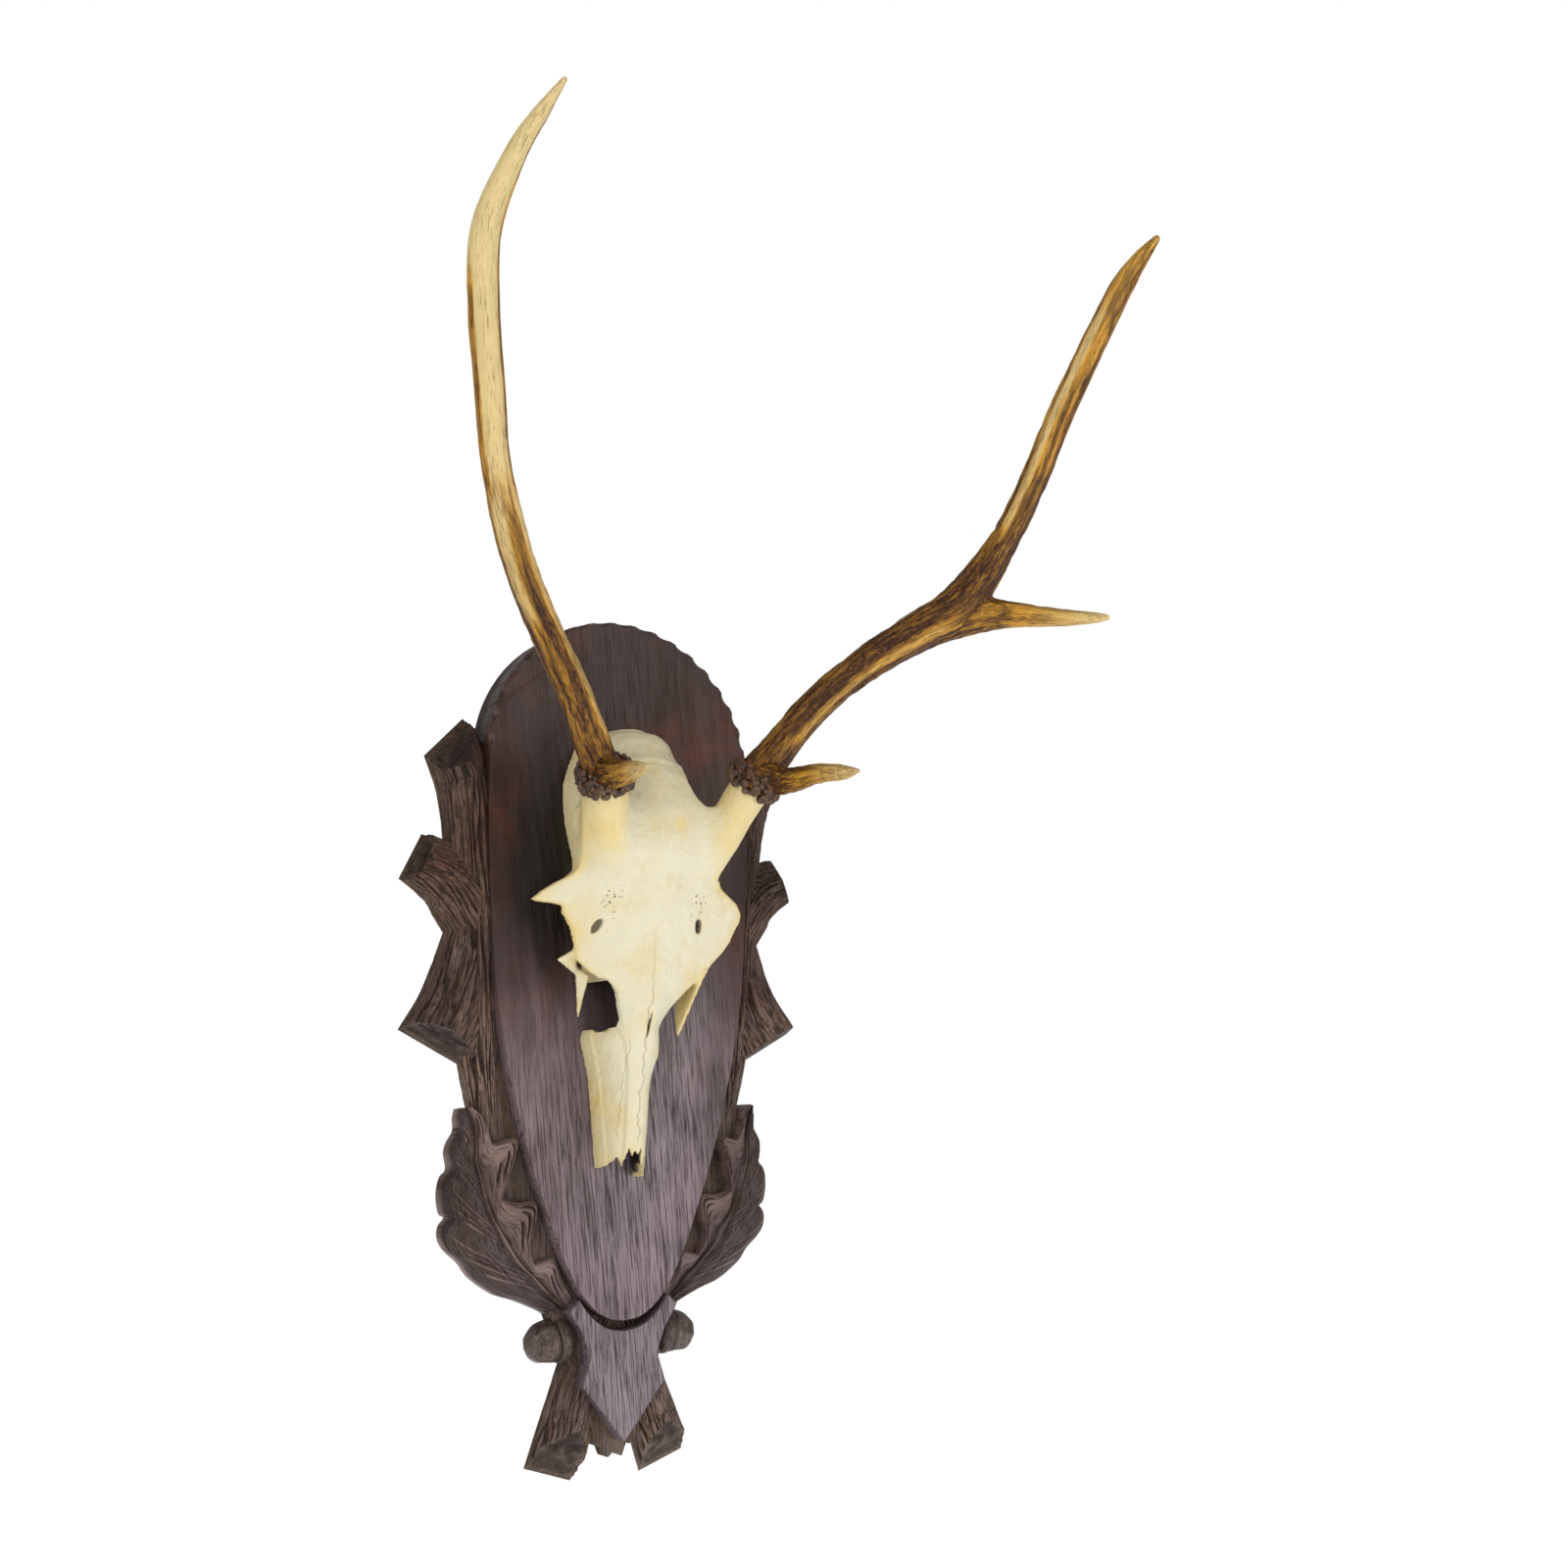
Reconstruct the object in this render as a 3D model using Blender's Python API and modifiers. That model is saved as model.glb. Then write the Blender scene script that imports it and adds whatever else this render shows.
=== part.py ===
"""Antler trophy on a carved oak plaque: cut upper skull and two antlers on a wall plaque.

Units are metres, +Z is up and the front faces -Y. The plaque's flat back lies on the wall
at y = 0, and the origin is on that back, at the centre of the panel's round top.
"""

import math

import bmesh
import bpy
from mathutils import Matrix, Vector

# Plaque
PANEL_RADIUS = 0.080
PANEL_LENGTH = 0.297
BOARD_THICKNESS = 0.024
GROUND_THICKNESS = 0.013
LOG_RELIEF = 0.0215
LEAF_RELIEF = 0.0210
FOOT_LOG_RELIEF = 0.0195
SHIELD_GAP = 0.005
RIM_GOUGES = 19
RIM_GOUGE_RADIUS = 0.0060
RIM_GOUGE_DEPTH = 0.0022
ACORN_RADIUS = 0.0112
ACORN_LENGTH = 0.0200

# Skull
SKULL_LENGTH = 0.235
SKULL_OFFSET = -0.005
ORBIT_RADIUS = 0.021
FORAMEN_RADIUS = 0.0028

# Antlers
ANTLER_RISE = 0.270
BURR_RADIUS = 0.0150
BURR_HEIGHT = 0.0090
PEDICLE_RADIUS = 0.0110

# Fit between touching pieces
FIT_GAP = 0.0003

# The free forms are drawn in millimetres on these nominal sizes and scaled to the sizes above
DRAWN_RADIUS = 80.0
DRAWN_LENGTH = 297.0
DRAWN_SKULL = 235.0
DRAWN_RISE = 270.0

# Right edge of the raised panel, from its shoulder to its foot: across, up
PANEL_SIDE = ((79.5, -50), (77.5, -90), (74, -130), (68, -162), (60, -195), (53, -218),
              (45, -240), (37, -260), (29, -276), (20, -288), (10, -295))

# Ground board behind the carving, from under the panel to the foot of the shield
GROUND_SIDE = ((50, 40), (82, -30), (82, -100), (80, -150), (77, -188), (80, -222), (77, -252),
               (58, -272), (38, -290), (34, -300), (31, -311), (24, -320), (20, -330), (13, -355),
               (4, -366), (0, -364))

# Tip shield: its outer top corner, waist and lower corner, and its tip
SHIELD_SIDE = ((26, -285), (31.5, -290.5), (24, -302), (19.5, -314), (24, -328), (0, -357))

# Sawn branches on the right side: across, up, radius; the last row is the sawn end
LOGS = {
    "upper_branch": ((60, -235, 7), (70, -195, 9), (75, -160, 12), (78, -120, 14), (80, -80, 14.5),
                     (82, -48, 14.5), (86, -20, 15), (96.5, 9.5, 15)),
    "middle_branch": ((76, -84, 21), (88, -72, 20), (101, -63, 16.8), (114, -56.5, 14.6)),
    "lower_branch": ((78, -88, 15), (82, -110, 17), (90, -134, 19), (101.5, -156, 20.8)),
    "foot_branch": ((2, -285, 10), (13, -312, 12), (22.5, -340, 13.5), (33.5, -373, 14.6)),
}

# Sawn faces: how far each leans back to the front, and to its outer side
LOG_FACES = {"upper_branch": (0.75, 0.5), "middle_branch": (0.35, 0.0), "lower_branch": (0.35, 0.0),
             "foot_branch": (1.1, 0.0)}
LOG_END_LIFT = 5.0
LOG_FLUTES = 9
LOG_FLUTE_DEPTH = 0.13

# The plates and the carving start this far behind the back plane, where they are cut flush
BACK_ALLOWANCE = 0.002

# Oak leaf on the right side: midrib across and up, outer and inner half-widths
LEAF_MIDRIB = ((30, -290, 4, 4), (45, -277, 12, 11), (60, -260, 19, 16), (72, -240, 21, 17),
               (79, -219, 17, 20), (80, -203, 10, 13), (82, -188, 4, 4))
LEAF_OUTER_NOTCHES = (0.36, 0.58, 0.80)
LEAF_INNER_NOTCHES = (0.30, 0.55, 0.83)
LEAF_NOTCH_DEPTH = 0.30
LEAF_NOTCH_WIDTH = 0.055
LEAF_VEINS = 7
LEAF_VEIN_HEIGHT = 0.08
LEAF_SHARES = (-1.0, -0.82, -0.5, -0.22, 0.0, 0.22, 0.5, 0.82, 1.0)
LEAF_LEAN = 0.28
LEAF_FLOOR = 0.72
LEAF_OUTER_FALL = 0.22
LEAF_TIP_FALL = 0.25

# Acorn beside the shield: centre of its cup, and the way it points
ACORN_CUP = (30, -305)
ACORN_TURN = math.radians(-8)
ACORN_LIFT = 0.32
ACORN_STEPS = 12

# Profile of cup and nut: radius in cup radii, and place along the axis
ACORN_PROFILE = ((0.0, -0.35), (0.85, -0.30), (1.08, 0.0), (1.05, 0.30), (0.97, 0.34), (1.0, 0.6),
                 (0.92, 1.15), (0.62, 1.6), (0.22, 1.75), (0.0, 1.8))

# Skull sections from crown to nose: up, left and right half-widths and crest depth of the
# vaults; the forehead also has how far its edge reaches back
BRAINCASE = ((12.5, 12, 13, 24), (9, 21, 20, 35), (2, 27, 25, 41), (-11, 31.5, 27, 47), (-20, 33, 33, 51),
             (-38, 31.5, 34, 55), (-58, 27, 33, 56), (-80, 26, 30, 50), (-98, 23, 25, 42))
FOREHEAD = ((-20, 24, 15, 50, 30), (-34, 41, 28, 58, 32), (-46, 41, 42, 59, 30), (-58, 41, 38, 57, 24),
            (-70, 44, 36, 54, 16), (-80, 50, 50, 51, 10), (-89, 47, 56, 49, 9), (-101, 41, 50, 46, 8),
            (-113, 37, 40, 43.5, 8), (-124, 24, 30, 41, 8), (-136, 15, 18, 37.5, 7), (-147, 7, 9, 32, 7))
FOREHEAD_SAG = (0.37, 0.17)
ARCH_ROUNDNESS = 0.8
SKULL_CELLS = 110
SKULL_SMOOTHING = 6
SKULL_FACES_KEPT = 0.075
SNOUT = ((-96, 24, 24, 40), (-116, 21, 21, 39), (-134, 18, 19, 37), (-145, 20, 15.5, 34.5),
         (-152, 22, 17.5, 33), (-161, 20, 17.5, 31), (-169, 18.5, 14, 29.5), (-178, 17, 12, 28),
         (-203, 15, 11.5, 24), (-222, 13, 11, 21))

# The gap where the left wall of the snout is broken away: across from the midline and up, and
# the depths between which it is cut
BROKEN_WALL = ((-35, -118), (-22, -123), (-16.5, -129), (-12.5, -143), (-15, -147.5), (-60, -147.5),
               (-60, -118))
BROKEN_WALL_DEPTHS = (-10, 60)

# Orbit, foramen and nose openings: across from the midline, depth, up
ORBIT_MIDDLE = (44, 18, -100)
ORBIT_REACH = (0.45, 1.6)
FORAMEN_MIDDLE = (28, -95)
FORAMEN_DEPTHS = (60, 20)
NOSE_OPENING = ((0, 7, -240, 10), (0, 12, -190, 5))

# Broken bone ends: from, to, radius at the root; across from the midline, depth, up
BONE_SPIKES = (((-44, 37, -77), (-62, 27, -82), 5.5),
               ((-36, 27, -109), (-45, 19, -112), 4.0),
               ((-31, 23, -114), (-27, 8, -142), 3.6),
               ((31, 28, -117), (28, 17, -151), 5.0))
BONE_SPIKE_TIP = 1.6

# Pedicles: root and burr seat, across from the midline, depth, up
PEDICLES = {
    "right": ((32, 48, -50), (45.5, 66, -22)),
    "left": ((-28, 48, -54), (-40.5, 66, -27)),
}

# Antlers, from the burr's seat: across, forward, up, radius
RIGHT_BEAM = ((0, 0, 0, 12), (5, 4, 9, 11), (12, 8, 19, 10), (29, 19, 43, 9.2), (48, 39, 64, 9.5),
              (71, 57, 81, 11), (90, 70, 95, 12), (107, 89, 128, 8.3), (114, 107, 157, 7.6),
              (116, 127, 186, 7.2), (121, 146, 215, 6.9), (127, 166, 245, 6.4), (134, 175, 260, 4.6),
              (141, 182, 271, 1.8))
LEFT_BEAM = ((0, 0, 0, 12), (-4, 3, 7, 11), (-9, 5, 15, 9.5), (-25, 14, 41, 8.3), (-46, 31, 60, 8.1),
             (-67, 50, 78, 7.6), (-85, 69, 97, 7.4), (-99, 84, 123, 6.9), (-110, 101, 151, 7.0),
             (-121, 119, 178, 7.1), (-128, 137, 205, 6.7), (-123, 155, 232, 4.9), (-116, 164, 246, 3.6),
             (-110, 172, 258, 1.3))
RIGHT_BROW_TINE = ((4, 8, 4, 9), (10, 22, 1, 7), (14, 45, 1, 5.2), (18, 62, -1, 4.0), (20, 73, -2, 1.0))
LEFT_BROW_TINE = ((-2, 8, 4, 9), (-6, 22, 0, 7.5), (-10, 45, -3, 5.5), (-13, 60, -5, 3.5),
                  (-15, 73, -6, 1.0))
RIGHT_MIDDLE_TINE = ((80, 61, 86, 11), (100, 74, 91, 10), (117, 86, 90.5, 7), (136, 100, 88, 5),
                     (150, 112, 87, 3.2), (157, 116, 87, 1.6))
BURR_LOBES = 15
BURR_LOBE_DEPTH = 0.10
BURR_PROFILE = ((0.0, 0.86), (0.3, 1.0), (0.7, 0.98), (1.0, 0.8))
BEAM_FLUTES = 8
BEAM_FLUTE_DEPTH = 0.10
TINE_FLUTES = 4
TINE_FLUTE_DEPTH = 0.08

COLLECTION = "antler_mounting_plaque"


def clear_scene():
    """Remove every object of the open scene."""
    for item in list(bpy.data.objects):
        bpy.data.objects.remove(item, do_unlink=True)


def make_collection(name):
    """Make a collection and link it to the scene."""
    group = bpy.data.collections.new(name)
    bpy.context.scene.collection.children.link(group)
    return group


def make_material(name, color, roughness, metallic=0.0):
    """Make a Principled material."""
    material = bpy.data.materials.new(name)
    material.use_nodes = True
    shader = material.node_tree.nodes["Principled BSDF"]
    shader.inputs["Base Color"].default_value = (*color, 1.0)
    shader.inputs["Roughness"].default_value = roughness
    shader.inputs["Metallic"].default_value = metallic
    return material


def link(name, mesh):
    """Make an object of a mesh in the scene's own collection."""
    item = bpy.data.objects.new(name, mesh)
    bpy.context.scene.collection.objects.link(item)
    return item


def baked(item):
    """Give an object its evaluated mesh with its place applied, and drop its modifiers."""
    bpy.context.view_layer.update()
    graph = bpy.context.evaluated_depsgraph_get()
    mesh = bpy.data.meshes.new_from_object(item.evaluated_get(graph))
    mesh.transform(item.matrix_world)
    name = item.name
    bpy.data.objects.remove(item, do_unlink=True)
    form = bmesh.new()
    form.from_mesh(mesh)
    bmesh.ops.remove_doubles(form, verts=form.verts, dist=0.00002)
    bmesh.ops.recalc_face_normals(form, faces=form.faces)
    form.to_mesh(mesh)
    form.free()
    return link(name, mesh)


def combined(item, other, operation):
    """Apply one exact Boolean of another object and remove that object."""
    step = item.modifiers.new("boolean", "BOOLEAN")
    step.operation = operation
    step.solver = "EXACT"
    step.object = other
    result = baked(item)
    bpy.data.objects.remove(other, do_unlink=True)
    return result


def from_bmesh(name, form):
    """Turn a bmesh into an object."""
    bmesh.ops.recalc_face_normals(form, faces=form.faces)
    mesh = bpy.data.meshes.new(name)
    form.to_mesh(mesh)
    form.free()
    return link(name, mesh)


def box(name, low, high):
    """Make a box between two corners."""
    form = bmesh.new()
    bmesh.ops.create_cube(form, size=1.0)
    size = Vector(high) - Vector(low)
    bmesh.ops.scale(form, vec=size, verts=form.verts)
    bmesh.ops.translate(form, vec=(Vector(low) + Vector(high)) / 2, verts=form.verts)
    return from_bmesh(name, form)


def cone(name, start, end, start_radius, end_radius, sides):
    """Make a cylinder or cone frustum from one point to another."""
    start = Vector(start)
    end = Vector(end)
    way = end - start
    form = bmesh.new()
    bmesh.ops.create_cone(form, cap_ends=True, segments=sides, radius1=start_radius,
                          radius2=end_radius, depth=way.length)
    turn = way.to_track_quat("Z", "Y").to_matrix().to_4x4()
    bmesh.ops.transform(form, matrix=Matrix.Translation((start + end) / 2) @ turn, verts=form.verts)
    return from_bmesh(name, form)


def smooth_rows(rows, steps):
    """Pass a Catmull-Rom curve through rows of numbers, with some steps between each two."""
    ends = [tuple(2 * a - b for a, b in zip(rows[0], rows[1]))]
    tail = [tuple(2 * a - b for a, b in zip(rows[-1], rows[-2]))]
    held = ends + list(rows) + tail
    result = []
    for place in range(1, len(held) - 2):
        before, here, after, later = held[place - 1:place + 3]
        for step in range(steps):
            t = step / steps
            result.append(tuple(
                0.5 * (2 * b + (c - a) * t + (2 * a - 5 * b + 4 * c - d) * t * t
                       + (3 * b - a - 3 * c + d) * t ** 3)
                for a, b, c, d in zip(before, here, after, later)))
    result.append(tuple(rows[-1]))
    return result


def plate(name, outline, back, front):
    """Extrude a closed outline, given across and up, between two depths from the wall."""
    curve = bpy.data.curves.new(name, "CURVE")
    curve.dimensions = "2D"
    curve.fill_mode = "BOTH"
    curve.extrude = (front - back) / 2
    spline = curve.splines.new("POLY")
    spline.points.add(len(outline) - 1)
    for point, (across, up) in zip(spline.points, outline):
        point.co = (across, up, 0.0, 1.0)
    spline.use_cyclic_u = True
    item = link(name, curve)
    item.rotation_euler = (math.radians(90), 0.0, 0.0)
    item.location = (0.0, -(front + back) / 2, 0.0)
    return baked(item)


def fluted_section(flutes, depth):
    """Make a closed round section of radius one with shallow flutes."""
    curve = bpy.data.curves.new("section", "CURVE")
    curve.dimensions = "2D"
    spline = curve.splines.new("POLY")
    count = flutes * 2
    spline.points.add(count - 1)
    for number, point in enumerate(spline.points):
        turn = 2 * math.pi * number / count
        radius = 1.0 - depth * (number % 2)
        point.co = (radius * math.cos(turn), radius * math.sin(turn), 0.0, 1.0)
    spline.use_cyclic_u = True
    return link("section", curve)


def tube(name, rows, flutes, depth):
    """Sweep a fluted section along rows of x, y, z and radius, with filled ends."""
    section = fluted_section(flutes, depth)
    curve = bpy.data.curves.new(name, "CURVE")
    curve.dimensions = "3D"
    curve.bevel_mode = "OBJECT"
    curve.bevel_object = section
    curve.use_fill_caps = True
    spline = curve.splines.new("POLY")
    spline.points.add(len(rows) - 1)
    for point, (x, y, z, radius) in zip(spline.points, rows):
        point.co = (x, y, z, 1.0)
        point.radius = radius
    item = baked(link(name, curve))
    bpy.data.objects.remove(section, do_unlink=True)
    return item


def mirrored(item):
    """Return a copy of an object on the other side of the middle plane."""
    copy = item.data.copy()
    copy.transform(Matrix.Scale(-1.0, 4, (1.0, 0.0, 0.0)))
    copy.flip_normals()
    return link(item.name + "_left", copy)


def drawn_on_plaque(across, up):
    """Scale a point drawn on the nominal panel to the panel's real size."""
    return across * PANEL_RADIUS / DRAWN_RADIUS, up * PANEL_LENGTH / DRAWN_LENGTH


def both_sides(side):
    """Close an outline drawn on the right side with its mirror image."""
    right = [drawn_on_plaque(*point) for point in side]
    left = [(-across, up) for across, up in reversed(right) if across > 0]
    return right + left


def panel_outline():
    """Outline of the raised panel: a round top and long sides that draw in to its foot."""
    arc = [(PANEL_RADIUS * math.cos(turn), PANEL_RADIUS * math.sin(turn))
           for turn in (math.pi * number / 32 for number in range(33))]
    side = [drawn_on_plaque(*point) for point in PANEL_SIDE]
    foot = (0.0, -PANEL_LENGTH)
    left = [(-across, up) for across, up in side]
    outline = list(reversed(side)) + arc + left + [foot]
    return outline


def rim_gouges():
    """Make the row of gouges that chamfers the panel's front edge from shoulder to shoulder."""
    form = bmesh.new()
    for number in range(RIM_GOUGES):
        turn = math.pi * (number + 0.5) / RIM_GOUGES
        outward = Vector((math.cos(turn), 0.0, math.sin(turn)))
        edge = outward * PANEL_RADIUS + Vector((0.0, -BOARD_THICKNESS, 0.0))
        slope = (outward + Vector((0.0, 1.0, 0.0))).normalized()
        lift = (outward - Vector((0.0, 1.0, 0.0))).normalized()
        middle = edge + lift * (RIM_GOUGE_RADIUS - RIM_GOUGE_DEPTH)
        made = bmesh.ops.create_cone(form, cap_ends=True, segments=10, radius1=RIM_GOUGE_RADIUS,
                                     radius2=RIM_GOUGE_RADIUS, depth=BOARD_THICKNESS)
        turned = slope.to_track_quat("Z", "Y").to_matrix().to_4x4()
        bmesh.ops.transform(form, matrix=Matrix.Translation(middle) @ turned, verts=made["verts"])
    return from_bmesh("rim_gouges", form)


def panel():
    """Raised panel with its gouged rim."""
    body = plate("panel", panel_outline(), -BACK_ALLOWANCE, BOARD_THICKNESS)
    return combined(body, rim_gouges(), "DIFFERENCE")


def half_log(name, rows, relief):
    """Make a fluted branch that lies half sunk in the back plane, sawn off aslant at its end."""
    widest = max(row[2] for row in rows)
    wide = PANEL_RADIUS / DRAWN_RADIUS
    placed = []
    for number, (across, up, radius) in enumerate(smooth_rows(rows, 2)):
        x, z = drawn_on_plaque(across, up)
        share = number / (2 * (len(rows) - 1))
        lift = LOG_END_LIFT * wide * max(0.0, share - 0.5) * 2
        placed.append((x, -lift * 0.5, z, radius * wide))
    log = tube(name, placed, LOG_FLUTES, LOG_FLUTE_DEPTH)
    log.data.transform(Matrix.Scale(relief / (widest * wide), 4, (0.0, 1.0, 0.0)))
    before, end = ((row[0], row[2]) for row in placed[-2:])
    way = Vector((end[0] - before[0], 0.0, end[1] - before[1])).normalized()
    side = Vector((way.z, 0.0, -way.x))
    middle = Vector((end[0], 0.0, end[1]))
    to_front, to_side = LOG_FACES[name]
    for point in log.data.vertices:
        off = point.co - middle
        if abs(off.dot(way)) < BACK_ALLOWANCE / 2:
            point.co -= way * (to_side * off.dot(side) - to_front * point.co.y)
    return log


def notch(place, notches):
    """How far an oak leaf's edge is cut in at a place along its midrib, from 0 to 1."""
    return max(math.exp(-((place - middle) / LEAF_NOTCH_WIDTH) ** 2) for middle in notches)


def leaf():
    """Carve an oak leaf: lobed edges, a sunk midrib, raised lobes and slanting vein grooves."""
    rows = smooth_rows(LEAF_MIDRIB, 4)
    form = bmesh.new()
    top = []
    low = []
    for number, (across, up, outer, inner) in enumerate(rows):
        place = number / (len(rows) - 1)
        before = rows[max(0, number - 1)]
        after = rows[min(len(rows) - 1, number + 1)]
        along = Vector((after[0] - before[0], after[1] - before[1])).normalized()
        side = Vector((along.y, -along.x))
        top_row = []
        low_row = []
        for share in LEAF_SHARES:
            reach = outer if share > 0 else inner
            notches = LEAF_OUTER_NOTCHES if share > 0 else LEAF_INNER_NOTCHES
            reach *= 1.0 - LEAF_NOTCH_DEPTH * notch(place, notches)
            lean = LEAF_LEAN * abs(share) * reach
            x = across + side.x * share * reach + along.x * lean
            z = up + side.y * share * reach + along.y * lean
            dome = math.sin(math.pi * min(1.0, abs(share) * 0.8 + 0.12))
            vein = LEAF_VEIN_HEIGHT * math.cos(2 * math.pi * (place * LEAF_VEINS - abs(share)))
            height = LEAF_FLOOR + (1.0 - LEAF_FLOOR) * dome + vein * min(1.0, 2 * abs(share))
            height *= 1.0 - LEAF_OUTER_FALL * max(0.0, share)
            ends = math.sin(math.pi * min(1.0, 0.12 + place * 0.8))
            height *= 1.0 - LEAF_TIP_FALL * (1.0 - ends)
            world_x, world_z = drawn_on_plaque(x, z)
            top_row.append(form.verts.new((world_x, -LEAF_RELIEF * height, world_z)))
            low_row.append(form.verts.new((world_x, BACK_ALLOWANCE, world_z)))
        top.append(top_row)
        low.append(low_row)
    for rank in range(len(top) - 1):
        for file in range(len(LEAF_SHARES) - 1):
            form.faces.new((top[rank][file], top[rank + 1][file],
                            top[rank + 1][file + 1], top[rank][file + 1]))
            form.faces.new((low[rank][file], low[rank][file + 1],
                            low[rank + 1][file + 1], low[rank + 1][file]))
        for file in (0, len(LEAF_SHARES) - 1):
            form.faces.new((top[rank][file], low[rank][file],
                            low[rank + 1][file], top[rank + 1][file]))
    for rank in (0, len(top) - 1):
        for file in range(len(LEAF_SHARES) - 1):
            form.faces.new((top[rank][file], top[rank][file + 1],
                            low[rank][file + 1], low[rank][file]))
    return from_bmesh("leaf", form)


def acorn():
    """Turn an acorn with its cup and lay it half sunk beside the shield."""
    tip = ACORN_PROFILE[-1][1]
    points = [(radius * ACORN_RADIUS, 0.0, place * ACORN_LENGTH / tip) for radius, place in ACORN_PROFILE]
    edges = [(number, number + 1) for number in range(len(points) - 1)]
    mesh = bpy.data.meshes.new("acorn")
    mesh.from_pydata(points, edges, [])
    body = link("acorn", mesh)
    turned = body.modifiers.new("turned", "SCREW")
    turned.steps = ACORN_STEPS
    turned.render_steps = ACORN_STEPS
    turned.use_merge_vertices = True
    turned.merge_threshold = 0.00005
    x, z = drawn_on_plaque(*ACORN_CUP)
    body.rotation_euler = (0.0, math.radians(90) - ACORN_TURN, 0.0)
    body.location = (x, -BOARD_THICKNESS * ACORN_LIFT, z)
    return baked(body)


def shield_outline():
    """Outline of the tip shield, whose top follows the panel's foot across a narrow groove."""
    side = [drawn_on_plaque(*point) for point in SHIELD_SIDE]
    tip = side[-1]
    right = side[:-1]
    top = []
    foot = [drawn_on_plaque(*point) for point in PANEL_SIDE[-2:]] + [(0.0, -PANEL_LENGTH)]
    for across, up in foot:
        top.append((across, up - SHIELD_GAP))
    left = [(-across, up) for across, up in reversed(right)]
    left_top = [(-across, up) for across, up in top[:-1]]
    return right + [tip] + left + left_top + list(reversed(top))


def plaque(material):
    """Join the carved board into one solid with a flat back."""
    body = plate("plaque", both_sides(GROUND_SIDE), -BACK_ALLOWANCE, GROUND_THICKNESS)
    pieces = [plate("shield", shield_outline(), -BACK_ALLOWANCE, BOARD_THICKNESS)]
    for name, rows in LOGS.items():
        pieces.append(half_log(name, rows, FOOT_LOG_RELIEF if name == "foot_branch" else LOG_RELIEF))
    pieces.append(leaf())
    pieces.append(acorn())
    for piece in pieces[1:]:
        body = combined(body, mirrored(piece), "UNION")
        body = combined(body, piece, "UNION")
    body = combined(body, pieces[0], "UNION")
    body = combined(body, panel(), "UNION")
    reach = PANEL_LENGTH * 2
    behind = box("behind", (-reach, 0.0, -reach), (reach, reach, reach))
    body = combined(body, behind, "DIFFERENCE")
    body.data.materials.clear()
    body.data.materials.append(material)
    return body


def drawn_on_skull(across, depth, up):
    """Place a point drawn on the nominal skull: across from its midline, off the panel, up."""
    scale = SKULL_LENGTH / DRAWN_SKULL
    return Vector((SKULL_OFFSET + across * scale, -BOARD_THICKNESS - depth * scale, up * scale))


def loft(name, sections):
    """Skin closed sections of equal count and cap both ends."""
    form = bmesh.new()
    rings = [[form.verts.new(point) for point in section] for section in sections]
    count = len(rings[0])
    for first, second in zip(rings, rings[1:]):
        for number in range(count):
            after = (number + 1) % count
            form.faces.new((first[number], first[after], second[after], second[number]))
    form.faces.new(rings[0])
    form.faces.new(rings[-1])
    return from_bmesh(name, form)


def arch(up, left, right, crest, points=14, floor=-3.0):
    """Section of a vault that stands on the panel."""
    ring = []
    for number in range(points + 1):
        turn = math.pi * number / points
        across = math.cos(turn) * (right if 2 * number < points else left)
        depth = crest * math.sin(turn) ** ARCH_ROUNDNESS
        ring.append(drawn_on_skull(across, depth, up))
    ring.append(drawn_on_skull(-left, floor, up))
    ring.append(drawn_on_skull(right, floor, up))
    return ring


def brow(up, left, right, crest, wall, points=14):
    """Section of the forehead: a shallow curve in front and the same curve behind it."""
    front = []
    back = []
    for number in range(points + 1):
        share = 1.0 - 2.0 * number / points
        across = share * (right if share > 0 else left)
        depth = crest - FOREHEAD_SAG[share > 0] * abs(across) * share * share
        front.append(drawn_on_skull(across, depth, up))
        back.append(drawn_on_skull(across, depth - wall, up))
    return front + list(reversed(back))


def broken_wall():
    """Cutter for the gap in the left wall of the snout."""
    return loft("broken_wall", [[drawn_on_skull(across, depth, up) for across, up in BROKEN_WALL]
                                for depth in BROKEN_WALL_DEPTHS])


def pedicle_axis(side):
    """Root, seat and direction of one pedicle."""
    root, seat = (drawn_on_skull(*point) for point in PEDICLES[side])
    return root, seat, (seat - root).normalized()


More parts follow.
